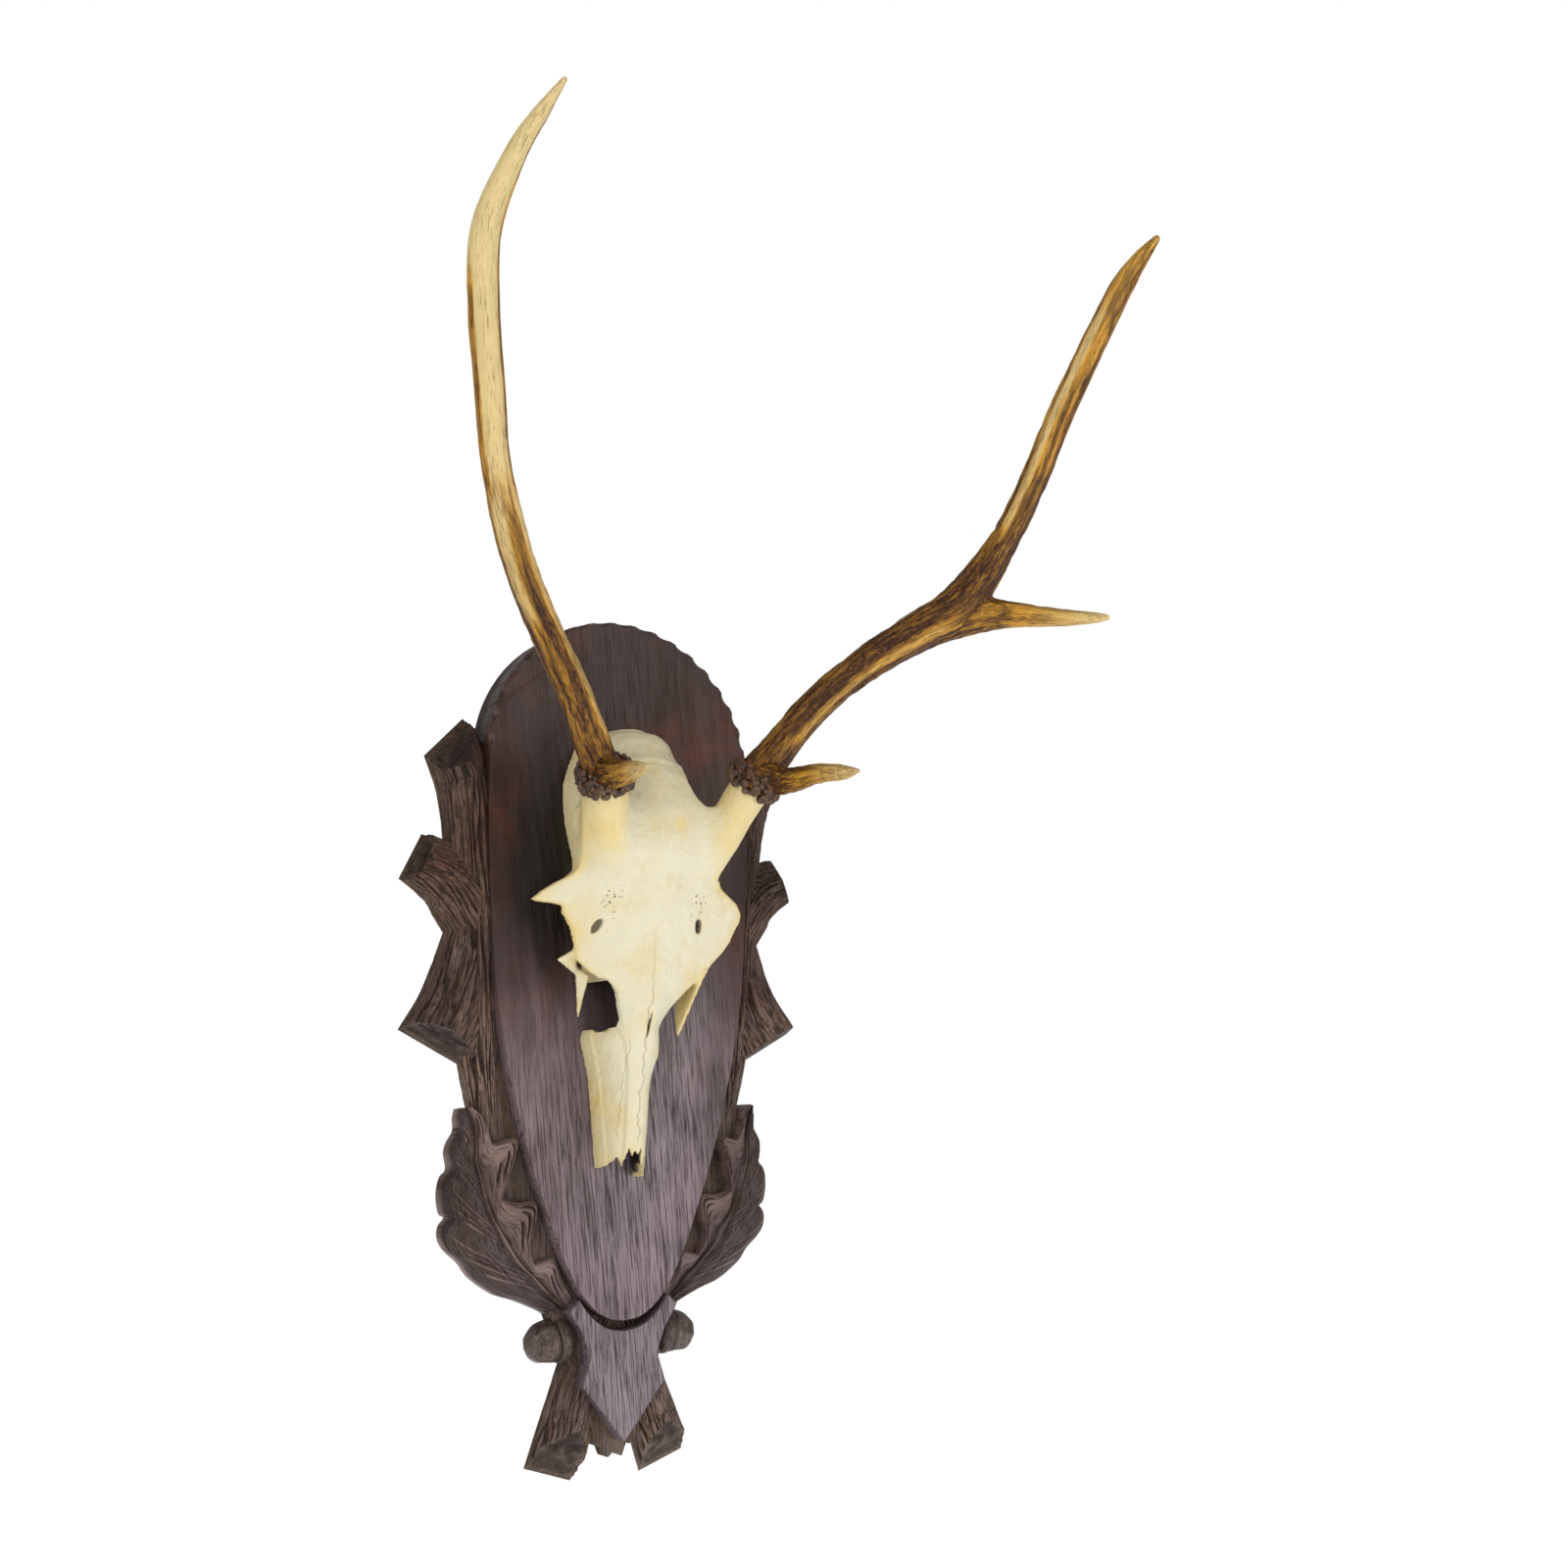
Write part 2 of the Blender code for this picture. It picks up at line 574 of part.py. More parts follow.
def skull(material):
    """Model the cut upper skull: crown, forehead, snout, pedicles and broken bone ends."""
    forehead = loft("forehead", [brow(*row) for row in smooth_rows(FOREHEAD, 2)])
    snout = loft("snout", [arch(*row) for row in smooth_rows(SNOUT, 2)])
    pieces = [loft("crown", [arch(*row) for row in smooth_rows(BRAINCASE, 2)]),
              combined(forehead, broken_wall(), "DIFFERENCE"),
              combined(snout, broken_wall(), "DIFFERENCE")]
    scale = SKULL_LENGTH / DRAWN_SKULL
    for start, end, radius in BONE_SPIKES:
        pieces.append(cone("spike", drawn_on_skull(*start), drawn_on_skull(*end),
                           radius * scale, BONE_SPIKE_TIP * scale, 10))
    for side in PEDICLES:
        root, seat, way = pedicle_axis(side)
        pieces.append(cone("pedicle", root - way * PEDICLE_RADIUS, seat + way * PEDICLE_RADIUS / 3,
                           PEDICLE_RADIUS, PEDICLE_RADIUS, 16))
    form = bmesh.new()
    for piece in pieces:
        form.from_mesh(piece.data)
        bpy.data.objects.remove(piece, do_unlink=True)
    body = from_bmesh("skull", form)
    skin = body.modifiers.new("skin", "REMESH")
    skin.mode = "VOXEL"
    skin.voxel_size = SKULL_LENGTH / SKULL_CELLS
    smooth = body.modifiers.new("smooth", "SMOOTH")
    smooth.factor = 0.5
    smooth.iterations = SKULL_SMOOTHING
    thin = body.modifiers.new("thin", "DECIMATE")
    thin.ratio = SKULL_FACES_KEPT
    body = baked(body)
    for side in PEDICLES:
        _, seat, way = pedicle_axis(side)
        wide = PEDICLE_RADIUS * 1.6
        above = cone("seat", seat, seat + way * BURR_HEIGHT * 3, wide, wide, 24)
        body = combined(body, above, "DIFFERENCE")
    for hand in (-1, 1):
        across, depth, up = ORBIT_MIDDLE
        inner, outer = (drawn_on_skull(hand * across * share, depth, up) for share in ORBIT_REACH)
        orbit = cone("orbit", inner, outer, ORBIT_RADIUS * 0.8, ORBIT_RADIUS, 16)
        body = combined(body, orbit, "DIFFERENCE")
        across, up = FORAMEN_MIDDLE
        front, back = (drawn_on_skull(hand * across, depth, up) for depth in FORAMEN_DEPTHS)
        body = combined(body, cone("foramen", front, back, FORAMEN_RADIUS, FORAMEN_RADIUS, 8),
                        "DIFFERENCE")
    (low, low_radius), (high, high_radius) = ((row[:3], row[3]) for row in NOSE_OPENING)
    nose = cone("nose", drawn_on_skull(*low), drawn_on_skull(*high), low_radius * scale,
                high_radius * scale, 12)
    body = combined(body, nose, "DIFFERENCE")
    reach = SKULL_LENGTH * 2
    behind = box("behind", (-reach, -BOARD_THICKNESS - FIT_GAP, -reach), (reach, reach, reach))
    body = combined(body, behind, "DIFFERENCE")
    body.data.materials.clear()
    body.data.materials.append(material)
    return body


def antler(name, side, beam, tines, material):
    """Model one antler: a lobed burr on the pedicle's seat, a fluted beam and its tines."""
    _, seat, way = pedicle_axis(side)
    scale = ANTLER_RISE / DRAWN_RISE
    start = seat + way * FIT_GAP

    def placed(rows):
        rows = smooth_rows(rows, 2)
        return [(start.x + x * scale, start.y - forward * scale, start.z + up * scale,
                 radius * scale) for x, forward, up, radius in rows]

    rise = BURR_HEIGHT
    burr_rows = [(*(start + way * rise * share), BURR_RADIUS * wide)
                 for share, wide in BURR_PROFILE]
    body = tube(name, burr_rows, BURR_LOBES, BURR_LOBE_DEPTH)
    shaft = placed(beam)
    flat = [row for row in shaft if (Vector(row[:3]) - start).dot(way) > rise * 0.4]
    body = combined(body, tube("beam", flat, BEAM_FLUTES, BEAM_FLUTE_DEPTH), "UNION")
    for tine in tines:
        body = combined(body, tube("tine", placed(tine), TINE_FLUTES, TINE_FLUTE_DEPTH), "UNION")
    below = cone("below", start - way * BURR_HEIGHT * 4, start, BURR_RADIUS * 3, BURR_RADIUS * 3, 24)
    body = combined(body, below, "DIFFERENCE")
    body.data.materials.clear()
    body.data.materials.append(material)
    return body


def main():
    """Build the trophy."""
    clear_scene()
    group = make_collection(COLLECTION)
    oak = make_material("oak", (0.085, 0.052, 0.045), 0.55)
    bone = make_material("bone", (0.78, 0.70, 0.52), 0.5)
    horn = make_material("antler", (0.30, 0.18, 0.08), 0.5)
    items = [plaque(oak), skull(bone),
             antler("antler_left", "left", LEFT_BEAM, (LEFT_BROW_TINE,), horn),
             antler("antler_right", "right", RIGHT_BEAM, (RIGHT_BROW_TINE, RIGHT_MIDDLE_TINE), horn)]
    for item in items:
        for owner in list(item.users_collection):
            owner.objects.unlink(item)
        group.objects.link(item)
        item.data.set_sharp_from_angle(angle=math.radians(35))


main()
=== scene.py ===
"""Antler trophy: a cut skull with two antlers on a carved oak plaque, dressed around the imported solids.

Lengths in the tables are millimetres in the plaque's frame: x across, y into the wall, z up,
with the plaque's flat back at y = 0. Meshes are written in metres.
"""

import logging
import math
from dataclasses import dataclass, field
from enum import Enum
from itertools import product
from typing import Optional, Sequence, Union

import bmesh
import bpy
import numpy as np
from mathutils import Matrix, Vector

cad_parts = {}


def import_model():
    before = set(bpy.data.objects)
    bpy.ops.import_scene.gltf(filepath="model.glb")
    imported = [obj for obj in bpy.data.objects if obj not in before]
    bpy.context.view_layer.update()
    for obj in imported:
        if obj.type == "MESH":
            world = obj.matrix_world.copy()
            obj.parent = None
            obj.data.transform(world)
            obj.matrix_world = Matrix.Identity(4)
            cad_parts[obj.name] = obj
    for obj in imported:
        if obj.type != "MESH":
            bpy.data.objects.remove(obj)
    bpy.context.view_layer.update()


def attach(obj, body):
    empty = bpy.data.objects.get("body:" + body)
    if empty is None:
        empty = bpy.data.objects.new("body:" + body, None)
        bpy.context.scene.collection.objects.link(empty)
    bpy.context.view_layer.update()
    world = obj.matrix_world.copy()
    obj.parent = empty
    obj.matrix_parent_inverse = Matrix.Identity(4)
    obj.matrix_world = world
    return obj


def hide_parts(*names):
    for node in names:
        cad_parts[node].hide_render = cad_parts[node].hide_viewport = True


LOG = logging.getLogger("trophy")
MM = 0.001
Rows = Sequence[Sequence[float]]

# How far the fronts of the panel and of the ground board stand off the wall
BOARD = 24.0
GROUND = 13.0
# Place of the skull's midline across
MIDLINE = -5.0
# Gap between an antler and its pedicle
NODE_GAP = 0.3
# Root and seat of each pedicle: across from the midline, off the panel, up
RIGHT_PEDICLE = ((32, 48, -50), (45.5, 66, -22))
LEFT_PEDICLE = ((-28, 48, -54), (-40.5, 66, -27))


# Curves, noise and meshes

def smoothed(rows: Rows, steps: int) -> np.ndarray:
    """Pass a smooth curve through rows of numbers.

    Args:
        rows: The rows that the curve passes through.
        steps: Places between each two rows.

    Returns:
        The rows of the fine curve.
    """
    table = np.array(rows, float)
    held = np.vstack([2 * table[0] - table[1], table, 2 * table[-1] - table[-2]])
    t = (np.arange(steps) / steps)[:, None]
    parts = []
    for place in range(1, len(held) - 2):
        a, b, c, d = held[place - 1:place + 3]
        parts.append(0.5 * (2 * b + (c - a) * t + (2 * a - 5 * b + 4 * c - d) * t ** 2
                            + (3 * b - a - 3 * c + d) * t ** 3))
    parts.append(table[-1:])
    return np.vstack(parts)


def even(rows: np.ndarray, spacing: float, across: int) -> np.ndarray:
    """Space the rows of a curve evenly along its length.

    Args:
        rows: Rows whose first numbers are the place.
        spacing: Wanted distance between rows.
        across: How many of the first numbers are the place.

    Returns:
        Rows of the same numbers, evenly spaced.
    """
    runs = np.linalg.norm(np.diff(rows[:, :across], axis=0), axis=1)
    length = np.concatenate([[0.0], np.cumsum(runs)])
    wanted = np.linspace(0.0, length[-1], max(2, int(length[-1] / spacing) + 1))
    return np.stack([np.interp(wanted, length, rows[:, k]) for k in range(rows.shape[1])], 1)


def noise(points: np.ndarray, seed: int) -> np.ndarray:
    """Smooth noise from -1 to 1.

    Args:
        points: Places, with the three numbers last.
        seed: Which noise.

    Returns:
        One number for each place.
    """
    base = np.floor(points)
    part = points - base
    ease = part * part * (3 - 2 * part)
    total = np.zeros(points.shape[:-1])
    for corner in product((0, 1), repeat=3):
        place = base + corner
        hashed = np.sin(place @ np.array([127.1, 311.7, 74.7]) + seed * 53.3) * 43758.5453
        weight = np.prod(np.where(np.array(corner) == 1, ease, 1 - ease), axis=-1)
        total += weight * (hashed - np.floor(hashed))
    return total * 2 - 1


def ramp(value: np.ndarray, low: float, high: float) -> np.ndarray:
    """Rise smoothly from 0 at low to 1 at high."""
    t = np.clip((value - low) / (high - low), 0.0, 1.0)
    return t * t * (3 - 2 * t)


def tube_faces(rows: int, columns: int) -> list[tuple[int, ...]]:
    """Faces of a closed tube of rings.

    Args:
        rows: Number of rings.
        columns: Points in each ring.

    Returns:
        Faces with four corners between the rings, then a cap at each end.
    """
    row, column = np.meshgrid(np.arange(rows - 1), np.arange(columns), indexing="ij")
    after = (column + 1) % columns
    corners = (row * columns + column, row * columns + after,
               (row + 1) * columns + after, (row + 1) * columns + column)
    faces = [tuple(face) for face in np.stack(corners, -1).reshape(-1, 4).tolist()]
    for first in (0, (rows - 1) * columns):
        faces.append(tuple(range(first, first + columns)))
    return faces


class Shell:
    """Points in millimetres, faces and named values that grow into one mesh."""

    def __init__(self) -> None:
        """Start empty."""
        self.points: list[np.ndarray] = []
        self.faces: list[tuple[int, ...]] = []
        self.values: dict[str, list[np.ndarray]] = {}
        self.count = 0

    def add(self, points: np.ndarray, faces: list[tuple[int, ...]], mirror: bool = False,
            **values: np.ndarray) -> None:
        """Add a closed part.

        Args:
            points: Its points.
            faces: Its faces, counted from its own first point.
            mirror: Whether the part goes to the other side of the middle plane.
            values: Numbers or vectors for each point.
        """
        points = np.asarray(points, float).reshape(-1, 3)
        if mirror:
            points = points * (-1, 1, 1)
        shift = self.count
        self.faces += [tuple(k + shift for k in (reversed(face) if mirror else face)) for face in faces]
        self.points.append(points)
        for name, value in values.items():
            self.values.setdefault(name, []).append(np.asarray(value, float).reshape(len(points), -1))
        self.count += len(points)

    def piece(self, name: str, crease: float = 50.0) -> bpy.types.Object:
        """Make the mesh and its object.

        Args:
            name: The piece's name.
            crease: Angle in degrees past which an edge is shaded sharp.

        Returns:
            The object, at the origin.
        """
        mesh = bpy.data.meshes.new(name)
        points = np.vstack(self.points) * MM
        mesh.from_pydata(points.tolist(), [], self.faces)
        for key, parts in self.values.items():
            data = np.vstack(parts)
            kind = "FLOAT" if data.shape[1] == 1 else "FLOAT_VECTOR"
            layer = mesh.attributes.new(key, kind, "POINT")
            layer.data.foreach_set("value" if kind == "FLOAT" else "vector",
                                   data.astype(np.float32).ravel())
        mesh.update()
        item = bpy.data.objects.new(name, mesh)
        bpy.context.scene.collection.objects.link(item)
        return outward(item, crease)


def outward(item: bpy.types.Object, crease: float) -> bpy.types.Object:
    """Point every face outwards and shade smooth up to an angle.

    Args:
        item: A closed mesh.
        crease: Angle in degrees past which an edge is sharp.

    Returns:
        The same object.
    """
    form = bmesh.new()
    form.from_mesh(item.data)
    bmesh.ops.recalc_face_normals(form, faces=form.faces)
    form.to_mesh(item.data)
    form.free()
    item.data.shade_smooth()
    item.data.set_sharp_from_angle(angle=math.radians(crease))
    return item


def baked(item: bpy.types.Object) -> bpy.types.Object:
    """Replace an object's mesh by its evaluated one and drop its modifiers."""
    bpy.context.view_layer.update()
    graph = bpy.context.evaluated_depsgraph_get()
    mesh = bpy.data.meshes.new_from_object(item.evaluated_get(graph))
    item.modifiers.clear()
    item.data = mesh
    mesh.name = item.name
    return item


def vertices(item: bpy.types.Object) -> np.ndarray:
    """Points of a mesh, in millimetres."""
    co = np.zeros(len(item.data.vertices) * 3, np.float32)
    item.data.vertices.foreach_get("co", co)
    return co.reshape(-1, 3).astype(float) / MM


def normals(item: bpy.types.Object) -> np.ndarray:
    """Directions in which a mesh's points face."""
    out = np.zeros(len(item.data.vertices) * 3, np.float32)
    item.data.vertex_normals.foreach_get("vector", out)
    return out.reshape(-1, 3).astype(float)


def set_points(item: bpy.types.Object, points: np.ndarray) -> None:
    """Move a mesh's points to places in millimetres."""
    item.data.vertices.foreach_set("co", (points * MM).astype(np.float32).ravel())
    item.data.update()


def set_value(item: bpy.types.Object, name: str, value: np.ndarray) -> None:
    """Store a number or a vector for each point of a mesh."""
    vector = value.ndim == 2
    layer = item.data.attributes.new(name, "FLOAT_VECTOR" if vector else "FLOAT", "POINT")
    layer.data.foreach_set("vector" if vector else "value", value.astype(np.float32).ravel())


def surface_net(field: np.ndarray, low: np.ndarray, step: float) -> tuple[np.ndarray, list]:
    """Skin the region where a field is negative.

    Args:
        field: Values on a regular grid, positive all round its border.
        low: Place of the grid's first point.
        step: Grid spacing.

    Returns:
        Points and four-cornered faces of the skin.
    """
    inside = field < 0
    corners = list(product((0, 1), repeat=3))
    shape = tuple(n - 1 for n in field.shape)

    def corner(values: np.ndarray, at: tuple[int, int, int]) -> np.ndarray:
        """Values of one corner of every cell."""
        return values[at[0]:at[0] + shape[0], at[1]:at[1] + shape[1], at[2]:at[2] + shape[2]]

    filled = sum(corner(inside, at).astype(np.int8) for at in corners)
    active = (filled > 0) & (filled < 8)
    cells = np.argwhere(active)
    number = np.full(shape, -1, np.int64)
    number[active] = np.arange(len(cells))
    total = np.zeros((len(cells), 3))
    hits = np.zeros(len(cells))
    held = {at: corner(field, at)[active] for at in corners}
    for one, two in product(corners, repeat=2):
        if sum(two) - sum(one) == 1 and all(b >= a for a, b in zip(one, two)):
            first, second = held[one], held[two]
            crossed = (first < 0) != (second < 0)
            share = np.where(crossed, first / np.where(crossed, first - second, 1.0), 0.0)
            place = np.array(one) + share[:, None] * (np.array(two) - np.array(one))
            total += place * crossed[:, None]
            hits += crossed
    points = low + (cells + total / hits[:, None]) * step
    faces = []
    for axis in range(3):
        near = np.take(inside, range(0, field.shape[axis] - 1), axis)
        far = np.take(inside, range(1, field.shape[axis]), axis)
        edges = np.argwhere(near != far)
        others = [k for k in range(3) if k != axis]
        kept = np.all([(edges[:, k] > 0) & (edges[:, k] < shape[k]) for k in others], axis=0)
        edges = edges[kept]
        ring = []
        for a, b in ((0, 0), (1, 0), (1, 1), (0, 1)):
            cell = edges.copy()
            cell[:, others[0]] -= a
            cell[:, others[1]] -= b
            ring.append(number[cell[:, 0], cell[:, 1], cell[:, 2]])
        faces += np.stack(ring, 1).tolist()
    return points, faces


# Shader and geometry node trees

Input = Union[float, tuple, "Wire"]


class Wire:
    """One output of a node, with arithmetic."""

    def __init__(self, kit: "NodeKit", socket: bpy.types.NodeSocket) -> None:
        self.kit = kit
        self.socket = socket

    def __add__(self, other: Input) -> "Wire":
        """Add."""
        return self.kit.math("ADD", self, other)

    __radd__ = __add__

    def __sub__(self, other: Input) -> "Wire":
        """Subtract."""
        return self.kit.math("SUBTRACT", self, other)

    def __rsub__(self, other: Input) -> "Wire":
        """Subtract this from something."""
        return self.kit.math("SUBTRACT", other, self)

    def __mul__(self, other: Input) -> "Wire":
        """Multiply."""
        return self.kit.math("MULTIPLY", self, other)

    __rmul__ = __mul__

    def __truediv__(self, other: Input) -> "Wire":
        """Divide."""
        return self.kit.math("DIVIDE", self, other)

    def size(self) -> "Wire":
        """Size without its sign."""
        return self.kit.math("ABSOLUTE", self)


class NodeKit:
    """Builds the nodes of one tree."""

    def __init__(self, tree: bpy.types.NodeTree) -> None:
        """Work in a tree."""
        self.tree = tree

    def node(self, kind: str, settings: Optional[dict] = None,
             values: Optional[dict] = None) -> bpy.types.Node:
        """Make one node.

        Args:
            kind: The node's type.
            settings: Its properties.
            values: Its inputs by name or number, each a value or a wire.

        Returns:
            The node.
        """
        made = self.tree.nodes.new(kind)
        for key, value in (settings or {}).items():
            setattr(made, key, value)
        for key, value in (values or {}).items():
            if isinstance(value, Wire):
                self.tree.links.new(value.socket, made.inputs[key])
            else:
                made.inputs[key].default_value = value
        return made

    def wire(self, kind: str, out: Union[str, int] = 0, settings: Optional[dict] = None,
             values: Optional[dict] = None) -> Wire:
        """Make one node and take one of its outputs."""
        return Wire(self, self.node(kind, settings, values).outputs[out])

    def math(self, operation: str, *values: Input, clamp: bool = False) -> Wire:
        """Make a Math node."""
        return self.wire("ShaderNodeMath", 0, {"operation": operation, "use_clamp": clamp},
                         dict(enumerate(values)))

    def place(self, scale: Sequence[float], turn: Sequence[float] = (0, 0, 0),
              source: Optional[str] = None) -> Wire:
        """Pattern coordinates in millimetres.

        Args:
            scale: How much each axis counts.
            turn: Turn of the pattern, in degrees.
            source: Name of a vector attribute, or None for the object's own coordinates.

        Returns:
            The coordinates.
        """
        unit = 1.0
        if source:
            base = self.wire("ShaderNodeAttribute", "Vector", {"attribute_name": source})
        else:
            base = self.wire("ShaderNodeTexCoord", "Object")
            unit = 1 / MM
        turned = self.wire("ShaderNodeMapping", 0, {"vector_type": "POINT"},
                           {"Vector": base, "Rotation": tuple(math.radians(a) for a in turn)})
        return self.wire("ShaderNodeVectorMath", 0, {"operation": "MULTIPLY"},
                         {0: turned, 1: tuple(s * unit for s in scale)})

    def value(self, name: str) -> Wire:
        """A number stored on the mesh."""
        return self.wire("ShaderNodeAttribute", "Fac", {"attribute_name": name})

    def speckle(self, at: Wire, scale: float = 1.0, detail: float = 3.0,
                rough: float = 0.5, twist: float = 0.0) -> Wire:
        """Noise about 0.5."""
        return self.wire("ShaderNodeTexNoise", "Fac", None,
                         {"Vector": at, "Scale": scale, "Detail": detail, "Roughness": rough,
                          "Distortion": twist})

    def cells(self, at: Wire, scale: float = 1.0) -> Wire:
        """Distance to the nearest of scattered points."""
        return self.wire("ShaderNodeTexVoronoi", "Distance", {"feature": "F1"},
                         {"Vector": at, "Scale": scale})

    def step(self, value: Input, low: float, high: float, start: float = 0.0, end: float = 1.0) -> Wire:
        """Rise smoothly between two values."""
        return self.wire("ShaderNodeMapRange", 0, {"interpolation_type": "SMOOTHSTEP"},
                         {0: value, 1: low, 2: high, 3: start, 4: end})

    def blend(self, share: Input, first: Input, second: Input) -> Wire:
        """Mix two colours."""
        made = self.node("ShaderNodeMix", {"data_type": "RGBA"})
        for key, value in ((0, share), (6, first), (7, second)):
            if isinstance(value, Wire):
                self.tree.links.new(value.socket, made.inputs[key])
            else:
                made.inputs[key].default_value = value
        return Wire(self, made.outputs[2])

    def bump(self, height: Wire, depth: float, below: Optional[Wire] = None) -> Wire:
        """Relief of a depth in millimetres, over another relief."""
        values: dict = {"Height": height, "Distance": depth * MM, "Strength": 1.0}
        if below:
            values["Normal"] = below
        return self.wire("ShaderNodeBump", 0, None, values)


def tone(red: float, green: float, blue: float) -> tuple[float, float, float, float]:
    """Linear colour from screen numbers of 0 to 255."""
    def one(value: float) -> float:
        """Linear value of one screen number."""
        share = value / 255
        return share / 12.92 if share <= 0.04045 else ((share + 0.055) / 1.055) ** 2.4
    return (one(red), one(green), one(blue), 1.0)


class Finish:
    """A material made of nodes."""

    name = "finish"

    def paint(self, kit: NodeKit) -> dict:
        """Build the pattern and return the shader's inputs."""
        raise NotImplementedError

    def material(self) -> bpy.types.Material:
        """Make the material, or fetch it if it is made."""
        if self.name in bpy.data.materials:
            return bpy.data.materials[self.name]
        made = bpy.data.materials.new(self.name)
        made.use_nodes = True
        kit = NodeKit(made.node_tree)
        shader = made.node_tree.nodes["Principled BSDF"]
        for key, value in self.paint(kit).items():
            if isinstance(value, Wire):
                made.node_tree.links.new(value.socket, shader.inputs[key])
            else:
                shader.inputs[key].default_value = value
        return made


class Grain(Enum):
    """Which way the oak's grain runs."""

    BOARD = "board"
    LIMB = "limb"


@dataclass(frozen=True)
class OakFinish(Finish):
    """Stained and waxed oak with open pores.

    Args:
        name: The material's name.
        grain: Whether the grain runs with the board or along a branch.
        top: Stain near the top of the plaque.
        foot: Colour near its foot; by default the dark stain lightened by a painted lilac sheen.
        dusty: How much pale dust lies in the hollows.
        pore: Depth of the pores.
        gloss: Roughness between the pores.
        even_pores: Whether the pores are open all over and not only low down.
        hollow_shade: How dark the painted shade in the hollows is.
        shine: How strongly the wax reflects.
        wear_and_painted_shadow: How dark the painted shadow beside the skull is.
        painted_shadow_at: Middle of that painted shadow, across and up.
        painted_shadow_reach: How far it reaches, across and up.
    """

    name: str = "stained_oak"
    grain: Grain = Grain.BOARD
    top: tuple = tone(46, 26, 16)
    # Default foot colour: a painted lilac sheen over the dark stain
    foot: tuple = tone(104, 88, 92)
    dusty: float = 0.5
    pore: float = 0.16
    gloss: float = 0.32
    even_pores: bool = False
    hollow_shade: float = 0.6
    shine: float = 0.32
    wear_and_painted_shadow: float = 0.0
    painted_shadow_at: tuple = (-42.0, -66.0)
    painted_shadow_reach: tuple = (26.0, 66.0)

    def paint(self, kit: NodeKit) -> dict:
        """Build the wood."""
        if self.grain is Grain.BOARD:
            fine = kit.place((1.7, 0.6, 0.05), (0, 5, 0))
            broad = kit.place((0.16, 0.06, 0.011), (0, 8, 0))
        else:
            fine = kit.place((1.5, 1.5, 0.1), (0, 0, 0), "wrap")
            broad = kit.place((0.2, 0.2, 0.02), (0, 0, 0), "wrap")
        spot = kit.place((1.0, 1.0, 1.0))
        up = kit.wire("ShaderNodeSeparateXYZ", "Z", None, {0: spot})
        fall = kit.step(up, -70.0, -210.0)
        cloud = kit.speckle(spot, 0.028, 3.0, 0.6)
        # Stain at the top, blending down into the foot colour, which on the panel is a painted lilac sheen
        stain = kit.blend(fall, self.top, self.foot)
        redder = kit.blend(kit.step(cloud, 0.46, 0.7) * (1.0 - fall) * 0.8, stain, tone(76, 36, 24))
        darker = kit.blend(kit.step(kit.speckle(spot, 0.02, 2.0, 0.5), 0.62, 0.35) * 0.6, redder,
                           tone(38, 24, 20))
        # Painted shadow: a near-black patch beside the skull stands in for the skull's shadow and the
        # reflection it hides
        if self.wear_and_painted_shadow:
            wide, tall = self.painted_shadow_reach
            middle = (self.painted_shadow_at[0] / wide, 0, self.painted_shadow_at[1] / tall)
            away = kit.wire("ShaderNodeVectorMath", "Value", {"operation": "DISTANCE"},
                            {0: kit.place((1 / wide, 0, 1 / tall)), 1: middle})
            near = kit.step(away + (cloud - 0.5) * 0.8, 1.2, 0.6)
            darker = kit.blend(near * self.wear_and_painted_shadow, darker, tone(14, 7, 5))
        band = kit.step(kit.speckle(broad, 1.0, 4.0, 0.6, 0.4), 0.35, 0.7) * (fall * 0.25 + 0.05)
        bands = kit.blend(band, darker, tone(140, 124, 128))
        fibre = kit.speckle(fine, 1.0, 4.0, 0.6)
        pores = kit.step(fibre, 0.48, 0.4)
        open_grain = 1.0 if self.even_pores else fall * 0.92 + 0.08
        wood = kit.blend(pores * open_grain * 0.7, bands, tone(34, 22, 20))
        pale = kit.blend(kit.step(fibre, 0.55, 0.72) * open_grain * 0.22, wood, tone(150, 132, 130))
        hollow = kit.value("hollow")
        # Painted shade: the hollow mask darkens furrows, creases, grooves and the backs of side walls towards
        # near black
        shaded_hollows = kit.blend(kit.step(hollow, 0.1, 0.8) * self.hollow_shade, pale, tone(26, 16, 11))
        dust = kit.step(kit.speckle(spot, 0.35, 4.0, 0.7), 0.4, 0.65) * kit.value("dust") * self.dusty
        colour = kit.blend(dust, shaded_hollows, tone(92, 76, 52))
        shape = kit.bump(kit.speckle(broad, 2.0, 3.0) * open_grain, 0.12)
        relief = kit.bump(pores * open_grain * -1.0, self.pore, shape)
        waxed = kit.step(pores, 0.0, 1.0, self.gloss, 0.7)
        rough = waxed + dust * 0.3 + kit.step(hollow, 0.5, 1.0) * 0.35
        return {"Base Color": colour, "Roughness": rough, "Normal": relief,
                "Specular IOR Level": self.shine}


